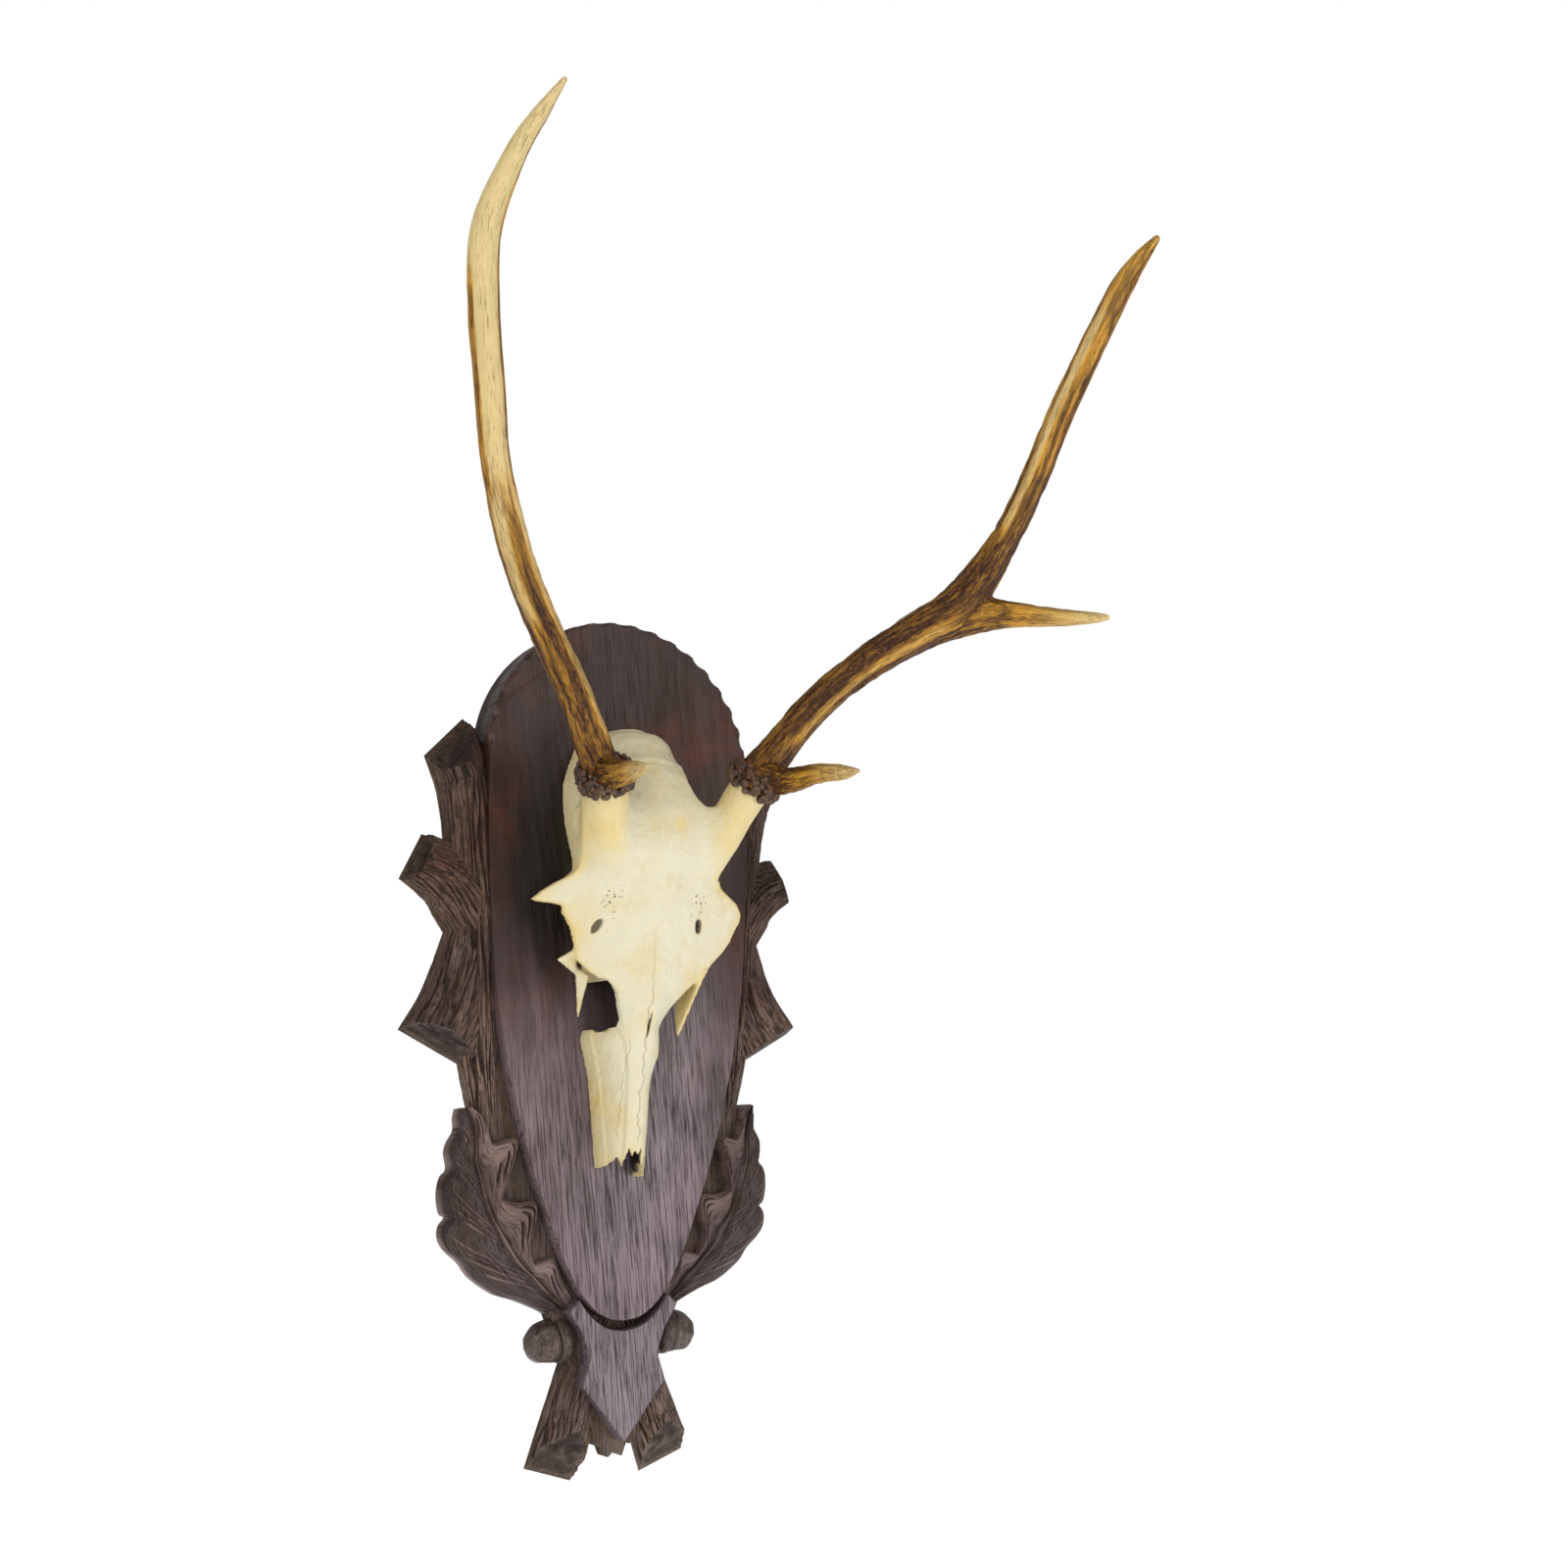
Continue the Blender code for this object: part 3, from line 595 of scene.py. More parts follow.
@dataclass(frozen=True)
class BoneFinish(Finish):
    """Boiled and bleached bone with yellow edges, seams and pits.

    Args:
        name: The material's name.
        bright: Colour of the clean bone.
        warm: Colour of its yellowed edges.
        brown: Colour of the lines along the nose.
    """

    name: str = "bleached_bone"
    bright: tuple = tone(197, 191, 165)
    warm: tuple = tone(198, 178, 122)
    brown: tuple = tone(150, 112, 60)

    def seam(self, kit: NodeKit, at: Wire, wide: float, reach: float, height: Wire,
             low: float, high: float, across: float, lean: float) -> Wire:
        """Draw a wavy line that runs up the skull.

        Args:
            kit: Where the nodes go.
            at: Coordinates in millimetres.
            wide: Half the line's width.
            reach: How far the line wanders.
            height: The coordinate along which it runs.
            low: Where it starts.
            high: Where it ends.
            across: Its place across at height 0.
            lean: How much it moves across for each millimetre up.

        Returns:
            The line, from 0 to 1.
        """
        side = kit.wire("ShaderNodeSeparateXYZ", "X", None, {0: at})
        along = kit.wire("ShaderNodeCombineXYZ", 0, None, {0: across, 1: low, 2: height})
        wander = (kit.speckle(along, 0.16, 4.0, 0.65) - 0.5) * reach
        off = (side - wander - across - height * lean).size()
        span = kit.step(height, low, low + 6.0) * kit.step(height, high, high - 6.0)
        return kit.step(off, wide, wide * 0.2) * span

    def paint(self, kit: NodeKit) -> dict:
        """Build the bone."""
        spot = kit.place((1.0, 1.0, 1.0))
        up = kit.wire("ShaderNodeSeparateXYZ", "Z", None, {0: spot})
        cloud = kit.speckle(spot, 0.045, 4.0, 0.6)
        mottle = kit.speckle(spot, 0.25, 5.0, 0.65)
        edge = kit.value("edge")
        yellow = kit.math("ADD", kit.step(cloud, 0.45, 0.72) * 0.55, edge * 0.85, clamp=True)
        base = kit.blend(yellow, self.bright, self.warm)
        crack = kit.speckle(kit.place((0.3, 0.3, 0.06)), 1.0, 5.0, 0.7)
        hair = kit.step((crack - 0.5).size(), 0.012, 0.002) * kit.step(cloud, 0.45, 0.6)
        base = kit.blend(hair * 0.4, base, tone(170, 140, 86))
        base = kit.blend(kit.step(mottle, 0.5, 0.75) * 0.25, base, tone(214, 198, 160))
        base = kit.blend(kit.value("stain") * 0.6, base, tone(214, 186, 110))
        streak = kit.speckle(kit.place((0.5, 0.5, 0.05)), 1.0, 4.0, 0.6)
        base = kit.blend(kit.step(streak, 0.55, 0.75) * kit.step(up, -110.0, -190.0) * 0.22, base,
                         tone(196, 172, 118))
        fade = kit.step(up, -90.0, -150.0, 0.25, 0.9)
        lines = self.seam(kit, spot, 0.35, 9.0, up, -208.0, -90.0, MIDLINE, 0.0) * fade
        left = self.seam(kit, spot, 0.45, 5.0, up, -206.0, -150.0, -7.5, 0.035)
        base = kit.blend(kit.math("MAXIMUM", lines, left) * 0.5, base, self.brown)
        pits = kit.step(kit.cells(spot, 0.38), 0.3, 0.16) * kit.value("pitted")
        pitted = kit.blend(pits, base, tone(96, 66, 34))
        # Painted shade: surfaces inside the skull's cavities and holes turn near black
        colour = kit.blend(kit.value("inside"), pitted, tone(20, 12, 8))
        shape = kit.bump(kit.speckle(spot, 0.11, 4.0, 0.55), 1.6)
        shape = kit.bump(mottle, 0.4, shape)
        fine = kit.bump(kit.speckle(spot, 1.4, 3.0), 0.06, shape)
        cut = kit.bump(1.0 - kit.math("MAXIMUM", lines, pits), 0.35, fine)
        rough = kit.step(mottle, 0.3, 0.8, 0.42, 0.62)
        return {"Base Color": colour, "Roughness": rough, "Normal": cut,
                "Subsurface Weight": 0.12, "Subsurface Radius": (0.004, 0.002, 0.001),
                "Subsurface Scale": 1.0}


@dataclass(frozen=True)
class AntlerFinish(Finish):
    """Furrowed antler: dark roots, golden ridges, pale polished ends.

    Args:
        name: The material's name.
        dark: Colour of the furrows and the rough roots.
        gold: Colour of the ridges.
        pale: Colour of the smooth upper beam.
    """

    name: str = "furrowed_antler"
    dark: tuple = tone(50, 22, 5)
    gold: tuple = tone(188, 138, 42)
    pale: tuple = tone(196, 176, 124)

    def paint(self, kit: NodeKit) -> dict:
        """Build the antler."""
        fibre = kit.speckle(kit.place((1.7, 1.7, 0.12), source="wrap"), 1.0, 5.0, 0.65)
        broad = kit.speckle(kit.place((0.3, 0.3, 0.022), source="wrap"), 1.0, 4.0, 0.6)
        grit = kit.speckle(kit.place((0.9, 0.9, 0.4), source="wrap"), 1.0, 4.0, 0.6)
        light = kit.value("light")
        furrow = kit.value("furrow")
        lift = (light - 0.4) * 1.5
        ridges = kit.step(fibre, 0.42, 0.6) * 0.5 + kit.step(broad, 0.4, 0.6) * 0.5
        ridge = kit.math("ADD", ridges, lift, clamp=True)
        warm = kit.blend(kit.step(light, 0.45, 0.95), self.gold, self.pale)
        colour = kit.blend(ridge, self.dark, warm)
        colour = kit.blend(kit.step(grit, 0.5, 0.64) * (1.0 - light) * 0.7, colour, tone(134, 80, 26))
        colour = kit.blend(furrow * kit.step(light, 1.1, 0.2) * 0.7, colour, tone(48, 24, 6))
        streak = kit.step(fibre, 0.46, 0.36) * kit.step(light, 0.3, 0.9)
        colour = kit.blend(streak * kit.value("streaky") * 0.7, colour, tone(96, 66, 24))
        shape = kit.bump(broad, 0.7)
        relief = kit.bump(fibre, 0.45, shape)
        rough = kit.step(light, 0.2, 0.95, 0.46, 0.34)
        return {"Base Color": colour, "Roughness": rough, "Normal": relief, "Specular IOR Level": 0.2}


@dataclass(frozen=True)
class BurrFinish(Finish):
    """Knobbly burr: dark brown with grey and copper pearls.

    Args:
        name: The material's name.
        dark: Colour between the pearls.
        brown: Colour of most pearls.
        copper: Colour of their rubbed grains.
        grey: Colour of the pearls that are rubbed most.
    """

    name: str = "pearled_burr"
    dark: tuple = tone(36, 18, 6)
    brown: tuple = tone(80, 46, 20)
    copper: tuple = tone(124, 86, 46)
    grey: tuple = tone(106, 88, 64)

    def paint(self, kit: NodeKit) -> dict:
        """Build the burr."""
        spot = kit.place((1.0, 1.0, 1.0))
        patch = kit.speckle(spot, 0.35, 4.0, 0.6)
        grit = kit.speckle(spot, 1.2, 4.0, 0.6)
        # Only wear here: the most rubbed pearls turn grey
        wear_and_painted_shadow = kit.step(kit.speckle(spot, 0.11, 2.0), 0.54, 0.66) * 0.5
        colour = kit.blend(kit.step(patch, 0.42, 0.6), self.dark, self.brown)
        colour = kit.blend(kit.step(grit, 0.54, 0.7) * 0.4, colour, self.copper)
        colour = kit.blend(wear_and_painted_shadow, colour, self.grey)
        return {"Base Color": colour, "Roughness": kit.step(grit, 0.3, 0.7, 0.35, 0.6),
                "Normal": kit.bump(grit, 0.5)}


@dataclass(frozen=True)
class FloorFinish(Finish):
    """Plain pale studio floor.

    Args:
        name: The material's name.
        low: Darker of its two close tones.
        high: Paler of them.
        glow: How much light it gives off, so that it stays white.
    """

    name: str = "studio_floor"
    low: tuple = (0.93, 0.93, 0.93, 1.0)
    high: tuple = (0.96, 0.96, 0.96, 1.0)
    glow: float = 0.68

    def paint(self, kit: NodeKit) -> dict:
        """Build the floor."""
        grain = kit.speckle(kit.place((0.02, 0.02, 0.02)), 1.0, 2.0)
        return {"Base Color": kit.blend(grain, self.low, self.high), "Roughness": 0.8,
                "Emission Color": (1.0, 1.0, 1.0, 1.0), "Emission Strength": self.glow}


def dress(item: bpy.types.Object, finish: Finish, slot: str, *nodes: str) -> bpy.types.Object:
    """Give a finished piece its material and fix it to the frame.

    Args:
        item: The finished piece.
        finish: Its finish.
        slot: Name of a material slot; not used.
        nodes: CAD nodes that it stands for.

    Returns:
        The piece.
    """
    item.data.materials.clear()
    item.data.materials.append(finish.material())
    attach(item, "root")
    if nodes:
        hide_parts(*nodes)
    item.data.calc_loop_triangles()
    LOG.info("%s: %d triangles", item.name, len(item.data.loop_triangles))
    return item


# Plaque

PANEL_SIDE = ((79.5, -50), (77.5, -90), (74, -130), (68, -162), (60, -195), (53, -218),
              (45, -240), (37, -260), (29, -276), (20, -288), (10, -295), (0, -297))
GROUND_SIDE = ((50, 40), (82, -30), (82, -100), (80, -150), (77, -188), (80, -222), (77, -252),
               (58, -272), (38, -290), (34, -300), (31, -311), (24, -320), (20, -330), (13, -355),
               (8.5, -360.5), (7, -358.5), (4, -366), (1, -363), (0, -364))
SHIELD_SIDE = ((26, -285), (31.5, -290.5), (24, -302), (19.5, -314), (24, -328))
SHIELD_TIP = (0, -357)


@dataclass
class RimGouges:
    """Geometry nodes that chamfer the panel's rim with a row of hollow gouge cuts.

    Args:
        count: Cuts from shoulder to shoulder.
        radius: Radius of the gouge.
        depth: How deep each cut goes.
        arc: Radius of the panel's round top.
    """

    count: int = 19
    radius: float = 8.5
    depth: float = 1.9
    arc: float = 80.0

    def tree(self, finish: Finish) -> bpy.types.NodeTree:
        """Build the tree with its named sizes.

        Args:
            finish: Finish of the cut panel.

        Returns:
            The node tree.
        """
        tree = bpy.data.node_groups.new("rim_gouges", "GeometryNodeTree")
        face = tree.interface
        face.new_socket("Panel", in_out="INPUT", socket_type="NodeSocketGeometry")
        for name, kind in (("Cuts", "NodeSocketInt"), ("Gouge radius", "NodeSocketFloat"),
                           ("Cut depth", "NodeSocketFloat"), ("Arc radius", "NodeSocketFloat")):
            face.new_socket(name, in_out="INPUT", socket_type=kind)
        face.new_socket("Cut panel", in_out="OUTPUT", socket_type="NodeSocketGeometry")
        kit = NodeKit(tree)
        given = kit.node("NodeGroupInput")
        cuts, gouge, depth, arc = (Wire(kit, given.outputs[k]) for k in (1, 2, 3, 4))
        points = kit.wire("GeometryNodePoints", 0, None, {"Count": cuts})
        turn = (kit.wire("GeometryNodeInputIndex") + 0.5) / cuts * math.pi
        right, up = kit.math("COSINE", turn), kit.math("SINE", turn)
        lift = (gouge - depth) * math.sqrt(0.5)
        reach = arc + lift
        place = kit.wire("ShaderNodeCombineXYZ", 0, None,
                         {0: right * reach, 1: -BOARD * MM - lift, 2: up * reach})
        slope = kit.wire("ShaderNodeCombineXYZ", 0, None, {0: right, 1: 1.0, 2: up})
        moved = kit.wire("GeometryNodeSetPosition", 0, None, {"Geometry": points, "Position": place})
        aimed = kit.wire("FunctionNodeAlignRotationToVector", 0, {"axis": "Z"}, {"Vector": slope})
        cutter = kit.wire("GeometryNodeMeshCylinder", 0, None,
                          {"Vertices": 48, "Radius": gouge, "Depth": BOARD * MM})
        row = kit.wire("GeometryNodeInstanceOnPoints", 0, None,
                       {"Points": moved, "Instance": cutter, "Rotation": aimed})
        solid = kit.wire("GeometryNodeRealizeInstances", 0, None, {0: row})
        cut = kit.wire("GeometryNodeMeshBoolean", 0, {"operation": "DIFFERENCE", "solver": "EXACT"},
                       {"Mesh 1": Wire(kit, given.outputs[0]), "Mesh 2": solid})
        real = kit.wire("GeometryNodeRealizeInstances", 0, None, {0: cut})
        coated = kit.wire("GeometryNodeSetMaterial", 0, None,
                          {"Geometry": real, "Material": finish.material()})
        kit.node("NodeGroupOutput", None, {0: coated})
        return tree

    def cut(self, panel: bpy.types.Object, finish: Finish) -> bpy.types.Object:
        """Cut the rim of a panel."""
        tree = self.tree(finish)
        step = panel.modifiers.new("rim_gouges", "NODES")
        step.node_group = tree
        sizes = {"Cuts": self.count, "Gouge radius": self.radius * MM, "Cut depth": self.depth * MM,
                 "Arc radius": self.arc * MM}
        for socket in tree.interface.items_tree:
            if socket.name in sizes:
                step[socket.identifier] = sizes[socket.name]
        return baked(panel)


@dataclass
class Plaque:
    """Carved oak plaque: panel, ground, branches, leaves, acorns and tip shield."""

    arc: float = 80.0
    shield_gap: float = 5.0
    gouges: RimGouges = field(default_factory=RimGouges)

    def prism(self, name: str, outline: np.ndarray, front: float, bevel: float,
              hollow_shade: float = 1.3, stand: float = 0.0) -> bpy.types.Object:
        """Make a board of an outline.

        Args:
            name: The piece's name.
            outline: Corners, across and up.
            front: Thickness from the wall.
            bevel: Width of the rounded edge.
            hollow_shade: How dark the painted shade on its side walls is at the back.
            stand: How far its back stands off the wall, so that no two backs share a plane.

        Returns:
            The board.
        """
        count = len(outline)
        back = np.column_stack([outline[:, 0], np.full(count, -stand), outline[:, 1]])
        face = back * (1, 0, 1) - (0, front, 0)
        sides = [(k, (k + 1) % count, (k + 1) % count + count, k + count) for k in range(count)]
        shell = Shell()
        # Side walls get painted shade that deepens towards the back
        shell.add(np.vstack([back, face]), sides + [tuple(range(count)), tuple(range(count, 2 * count))],
                  hollow=np.repeat([hollow_shade, 0.0], count))
        board = shell.piece(name, 35)
        edge = board.modifiers.new("edge", "BEVEL")
        edge.width = bevel * MM
        edge.segments = 2
        edge.limit_method = "ANGLE"
        edge.angle_limit = math.radians(50)
        return baked(board)

    def panel(self) -> bpy.types.Object:
        """Make the raised panel with its gouged rim."""
        side = smoothed(((80, 0),) + PANEL_SIDE, 6)[1:]
        turns = np.linspace(0, math.pi, 97)
        top = np.column_stack([self.arc * np.cos(turns), self.arc * np.sin(turns)])
        left = side[:-1] * (-1, 1)
        outline = np.vstack([side[::-1], top, left])
        board = self.prism("panel", outline, BOARD, 0.5)
        # The panel's finish carries a painted shadow beside the skull
        finish = OakFinish(wear_and_painted_shadow=0.9)
        board = self.gouges.cut(board, finish)
        outward(board, 28)
        return dress(board, finish, "oak", "plaque")

    def ground(self) -> bpy.types.Object:
        """Make the ground board behind the carving."""
        side = np.array(GROUND_SIDE, float)
        outline = np.vstack([side, (side[:-1] * (-1, 1))[::-1]])
        board = self.prism("ground_board", outline, GROUND, 0.8, stand=0.1)
        set_value(board, "dust", np.ones(len(board.data.vertices)))
        return dress(board, OakFinish("dusty_oak", top=tone(58, 42, 34), foot=tone(74, 56, 44),
                                      dusty=0.6, gloss=0.6, shine=0.3), "oak")

    def shield(self) -> bpy.types.Object:
        """Make the tip shield, whose top follows the panel's foot across a groove."""
        side = np.array(SHIELD_SIDE, float)
        foot = smoothed(PANEL_SIDE[-4:], 5)
        foot = foot[foot[:, 0] < 22] - (0, self.shield_gap)
        left_foot = (foot[:-1] * (-1, 1))
        outline = np.vstack([side, [SHIELD_TIP], (side * (-1, 1))[::-1], left_foot, foot[::-1]])
        board = self.prism("tip_shield", outline, BOARD - 0.4, 0.45, 0.8, 0.2)
        # The shield's lilac tones are the dark stain with a painted sheen in them, as at the panel's foot
        return dress(board, OakFinish("shield_oak", top=tone(92, 80, 86), foot=tone(94, 82, 88)),
                     "oak")

    def build(self) -> None:
        """Make every part of the plaque."""
        self.panel()
        self.ground()
        self.shield()
        Branches().build()
        Leaves().build()
        Acorns().build()


@dataclass(frozen=True)
class Branch:
    """One sawn branch on the right side.

    Args:
        rows: Across, up and radius; the last row is the sawn end.
        relief: How far the branch stands out from the wall.
        tilt: How far its sawn face leans to the front.
        slant: How much shorter the branch is on its outer side, for each millimetre across.
        seed: Which bark.
        stand: How far its flat back stands off the wall.
        lift: How much its sawn end rises to the front.
        sides: Points round the branch.
        pitch: Spacing of the points along it.
        furrow: Depth of the bark's furrows.
        spacing: Width of a ridge of bark.
        facets: Flat cuts that its round follows.
    """

    rows: Rows
    relief: float = 21.5
    tilt: float = 0.0
    slant: float = 0.0
    seed: int = 1
    stand: float = 0.3
    lift: float = 2.5
    sides: int = 206
    pitch: float = 1.3
    furrow: float = 1.0
    spacing: float = 2.9
    facets: int = 6

    def carve(self, shell: Shell, mirror: bool) -> None:
        """Add the branch to a shell.

        Args:
            shell: Where it goes.
            mirror: Whether it goes to the left side.
        """
        rows = even(smoothed(self.rows, 24), self.pitch, 2)
        along = np.gradient(rows[:, :2], axis=0)
        along /= np.linalg.norm(along, axis=1)[:, None]
        across = np.column_stack([along[:, 1], -along[:, 0]])
        run = np.arange(len(rows)) * self.pitch
        turn = np.concatenate([np.linspace(0, math.pi, self.sides - 6), np.linspace(1.1, 1.9, 6) * math.pi])
        flat = self.relief / max(row[2] for row in self.rows)
        facet = math.pi / self.facets
        flat_side = math.cos(facet) / np.cos((turn + 0.5) % (2 * facet) - facet)
        radius = rows[:, 2][:, None] * (1 + 0.7 * (flat_side / flat_side.mean() - 1))[None]
        round_x, round_y = np.cos(turn), np.sin(turn)
        at = np.stack([radius * round_x / 2.6, radius * round_y / 2.6,
                       run[:, None] / 38 * np.ones(self.sides)], -1)
        fine = np.stack([radius * round_x / 1.3, radius * round_y / 1.3,
                         run[:, None] / 16 * np.ones(self.sides)], -1)
        wander = noise(at * (0.9, 0.9, 0.8), self.seed) * 1.1
        flutes = turn[None] * rows[:, 2].mean() / self.spacing + wander
        deep = (0.5 + 0.5 * np.cos(2 * math.pi * flutes)) ** 2
        deep *= 0.7 + 0.5 * noise(at * (0.6, 0.6, 1.6), self.seed + 2)
        deep = np.clip(deep, 0, 1) * (np.sin(turn) > -0.01)
        slight = np.clip(1 - np.abs(noise(fine, self.seed + 9)) / 0.3, 0, 1)
        swell = noise(at * (0.3, 0.3, 0.8), self.seed + 5)
        radius = radius + swell * 0.6 - deep * self.furrow - slight * 0.25
        share = run / run[-1]
        rise = self.lift * np.clip(share * 2 - 1, 0, 1)
        depth = np.clip(flat * radius * round_y + rise[:, None], self.stand, None)
        side = radius * round_x
        back = ramp(run, run[-1] - 34, run[-1])[:, None] * (self.tilt * depth + self.slant * side)
        x = rows[:, :1] + side * across[:, :1] - back * along[:, :1]
        z = rows[:, 1:2] + side * across[:, 1:] - back * along[:, 1:]
        points = [np.stack([x, -depth, z], -1)]
        # Painted shade in the bark's furrows
        hollow = [np.maximum(deep, slight * 0.4)]
        wrap = [np.stack([radius * round_x, radius * round_y, run[:, None] * np.ones(self.sides)], -1)]
        end = points[0][-1]
        middle = end.mean(0)
        inner = []
        for ring in np.linspace(0.95, 0.04, 15):
            ringed = middle + (end - middle) * ring
            off = (ringed - middle)[:, 1] + 0.2 * side[-1] * ring
            held = ramp(np.abs(side[-1]) * ring, rows[-1, 2] * 0.85, rows[-1, 2] * 0.6)
            slit = np.exp(-(off / 0.8) ** 2) * held
            sunk = 0.3 + 0.25 * noise(ringed / 2.5, self.seed) + 2.4 * slit
            inner.append(ringed - np.column_stack([along[-1, 0] * sunk, 0 * sunk, along[-1, 1] * sunk]))
            shade = 0.45 + 0.3 * noise(ringed / (3, 3, 9), self.seed + 4) + ramp(ring, 0.9, 0.7) * 0.25
            hollow.append(np.maximum(shade, slit)[None])
            wrap.append((ringed / (1, 1, 4))[None])
        points.append(np.array(inner))
        grid = np.vstack(points)
        faces = tube_faces(len(grid), self.sides)
        values = np.vstack(hollow)
        dust = np.clip(1 - (-grid[..., 1]) / 15, 0, 1)
        shell.add(grid, faces, mirror, hollow=values, wrap=np.vstack(wrap), dust=dust)


@dataclass
class Branches:
    """Sawn branches on both sides of the panel and crossing behind the shield."""

    limbs: tuple = (
        ("side_branch", Branch(((60, -235, 7), (70, -195, 9), (75, -160, 12), (78, -120, 14),
                                (80, -80, 14.5), (82, -48, 14.5), (86, -20, 15), (96.5, 9.5, 15)),
                               tilt=0.75, slant=0.5, seed=2)),
        ("middle_stub", Branch(((74, -91, 21), (88, -72, 20), (101, -63, 16.8), (114, -56.5, 14.6)),
                               tilt=0.35, seed=4, stand=0.4)),
        ("lower_stub", Branch(((77, -75, 13), (81, -103, 16.5), (90, -134, 19), (101.5, -156, 20.8)),
                              tilt=0.35, seed=6, stand=0.5)),
        ("foot_branch", Branch(((2, -285, 10), (13, -312, 12), (22.5, -340, 13.5), (33.5, -373, 14.6)),
                               relief=19.5, tilt=1.1, seed=8, stand=0.6)),
    )

    def build(self) -> None:
        """Carve every branch on both sides."""
        finish = OakFinish("bark_oak", Grain.LIMB, tone(84, 61, 46), tone(114, 91, 76), 0.6, 0.3, 0.46, True,
                           0.85, 0.22)
        for name, limb in self.limbs:
            for side, mirror in (("right", False), ("left", True)):
                shell = Shell()
                limb.carve(shell, mirror)
                dress(shell.piece(f"{name}_{side}", 45), finish, "oak")


@dataclass
class Leaves:
    """Oak leaves that lie along the lower panel.

    Args:
        rows: Points along the leaf.
        columns: Points on each half of it.
        middle: Midrib: share of the length, across, up.
        outer: Outer edge, in the same way.
        inner: Inner edge with its three lobes, in the same way.
        lobes: Shares at which the inner lobes end.
        outer_lobes: Shares at which the outer lobes end.
    """

    rows: int = 300
    columns: int = 34
    middle: Rows = ((0, 86.6, -187), (0.08, 83.4, -193.6), (0.16, 81.4, -201.5), (0.28, 81.0, -214.1),
                    (0.38, 78.3, -225.1), (0.5, 73.8, -237.8), (0.62, 66.7, -250.6),
                    (0.74, 57.8, -263.5),
                    (0.84, 47.2, -273.5), (0.94, 36.4, -284.3), (1, 29.2, -290.3))
    outer: Rows = ((0, 87.5, -187), (0.10, 88.5, -192), (0.18, 88.3, -198.2), (0.24, 91.5, -203.6),
                   (0.31, 93, -209.1), (0.39, 91.8, -217.3), (0.43, 94.8, -221), (0.48, 96.3, -226),
                   (0.54, 96.6, -232.4), (0.60, 95.1, -239.5), (0.62, 92.4, -241.6), (0.65, 95.0, -245),
                   (0.68, 96, -249), (0.72, 94.9, -254), (0.76, 91.4, -258.5), (0.80, 84.8, -264.4),
                   (0.85, 78.6, -272.1), (0.91, 66.2, -280.5), (0.95, 54, -284.7), (0.99, 41.5, -290),
                   (1, 38, -292))
    inner: Rows = ((0, 84, -186.5), (0.1, 79.7, -189.8), (0.18, 77, -196.1), (0.30, 72.5, -204.6),
                   (0.34, 62.9, -202.7), (0.37, 59.9, -204), (0.40, 60, -207), (0.43, 61.1, -209.9),
                   (0.48, 62.8, -216.2), (0.54, 66.7, -225.5), (0.58, 68.4, -231.7),
                   (0.615, 60.8, -235.1),
                   (0.65, 51, -234.8), (0.67, 48.1, -237.2), (0.71, 49.3, -245), (0.75, 51, -251.2),
                   (0.79, 51.9, -257.4), (0.83, 50, -263.7), (0.85, 47.7, -265.7), (0.875, 39, -263.6),
                   (0.895, 36.2, -265.7), (0.925, 34.9, -270.8), (0.96, 31.3, -277.3),
                   (1, 26.7, -283.9))
    lobes: tuple = (0.0, 0.30, 0.58, 0.85, 1.02)
    outer_lobes: tuple = (0.0, 0.2, 0.4, 0.62, 0.84, 1.02)

    def line(self, table: Rows, at: np.ndarray) -> np.ndarray:
        """Read one of the leaf's lines at some shares of its length."""
        fine = smoothed(table, 8)
        return np.stack([np.interp(at, fine[:, 0], fine[:, k]) for k in (1, 2)], -1)

    def veins(self, at: np.ndarray, out: np.ndarray, inner: bool) -> np.ndarray:
        """How deep the vein gouges are.

        Args:
            at: Share of the leaf's length.
            out: Share of the way from midrib to edge.
            inner: Whether this is the inner half.

        Returns:
            Depth of the gouges, from 0 to 1.
        """
        total = np.zeros(np.broadcast(at, out).shape)
        if inner:
            for first, last in zip(self.lobes, self.lobes[1:]):
                part = (at - first) / (last - first)
                for rank in range(3):
                    path = 0.84 - 0.19 * rank - 0.3 * (part - 0.2)
                    reach = ramp(part, 0.1 + 0.05 * rank, 0.24 + 0.05 * rank) * ramp(part, 0.8, 0.5)
                    total = np.maximum(total, np.clip(1 - np.abs(out - path) / 0.07, 0, 1) * reach)
            return total
        for first, last in zip(self.outer_lobes, self.outer_lobes[1:]):
            for rank, share in enumerate((0.2, 0.42, 0.64, 0.86)):
                end = first + (last - first) * share
                begin = first + (last - first) * (0.4 + 0.45 * share) + 0.11
                bent = begin + (end - begin) * out ** 0.85
                wide = 0.0085 * (0.4 + 0.8 * out)
                reach = ramp(out, 0.05, 0.2) * ramp(out, 0.98 - 0.14 * (rank % 2), 0.6)
                total = np.maximum(total, np.clip(1 - np.abs(at - bent) / wide, 0, 1) * reach)
        return total

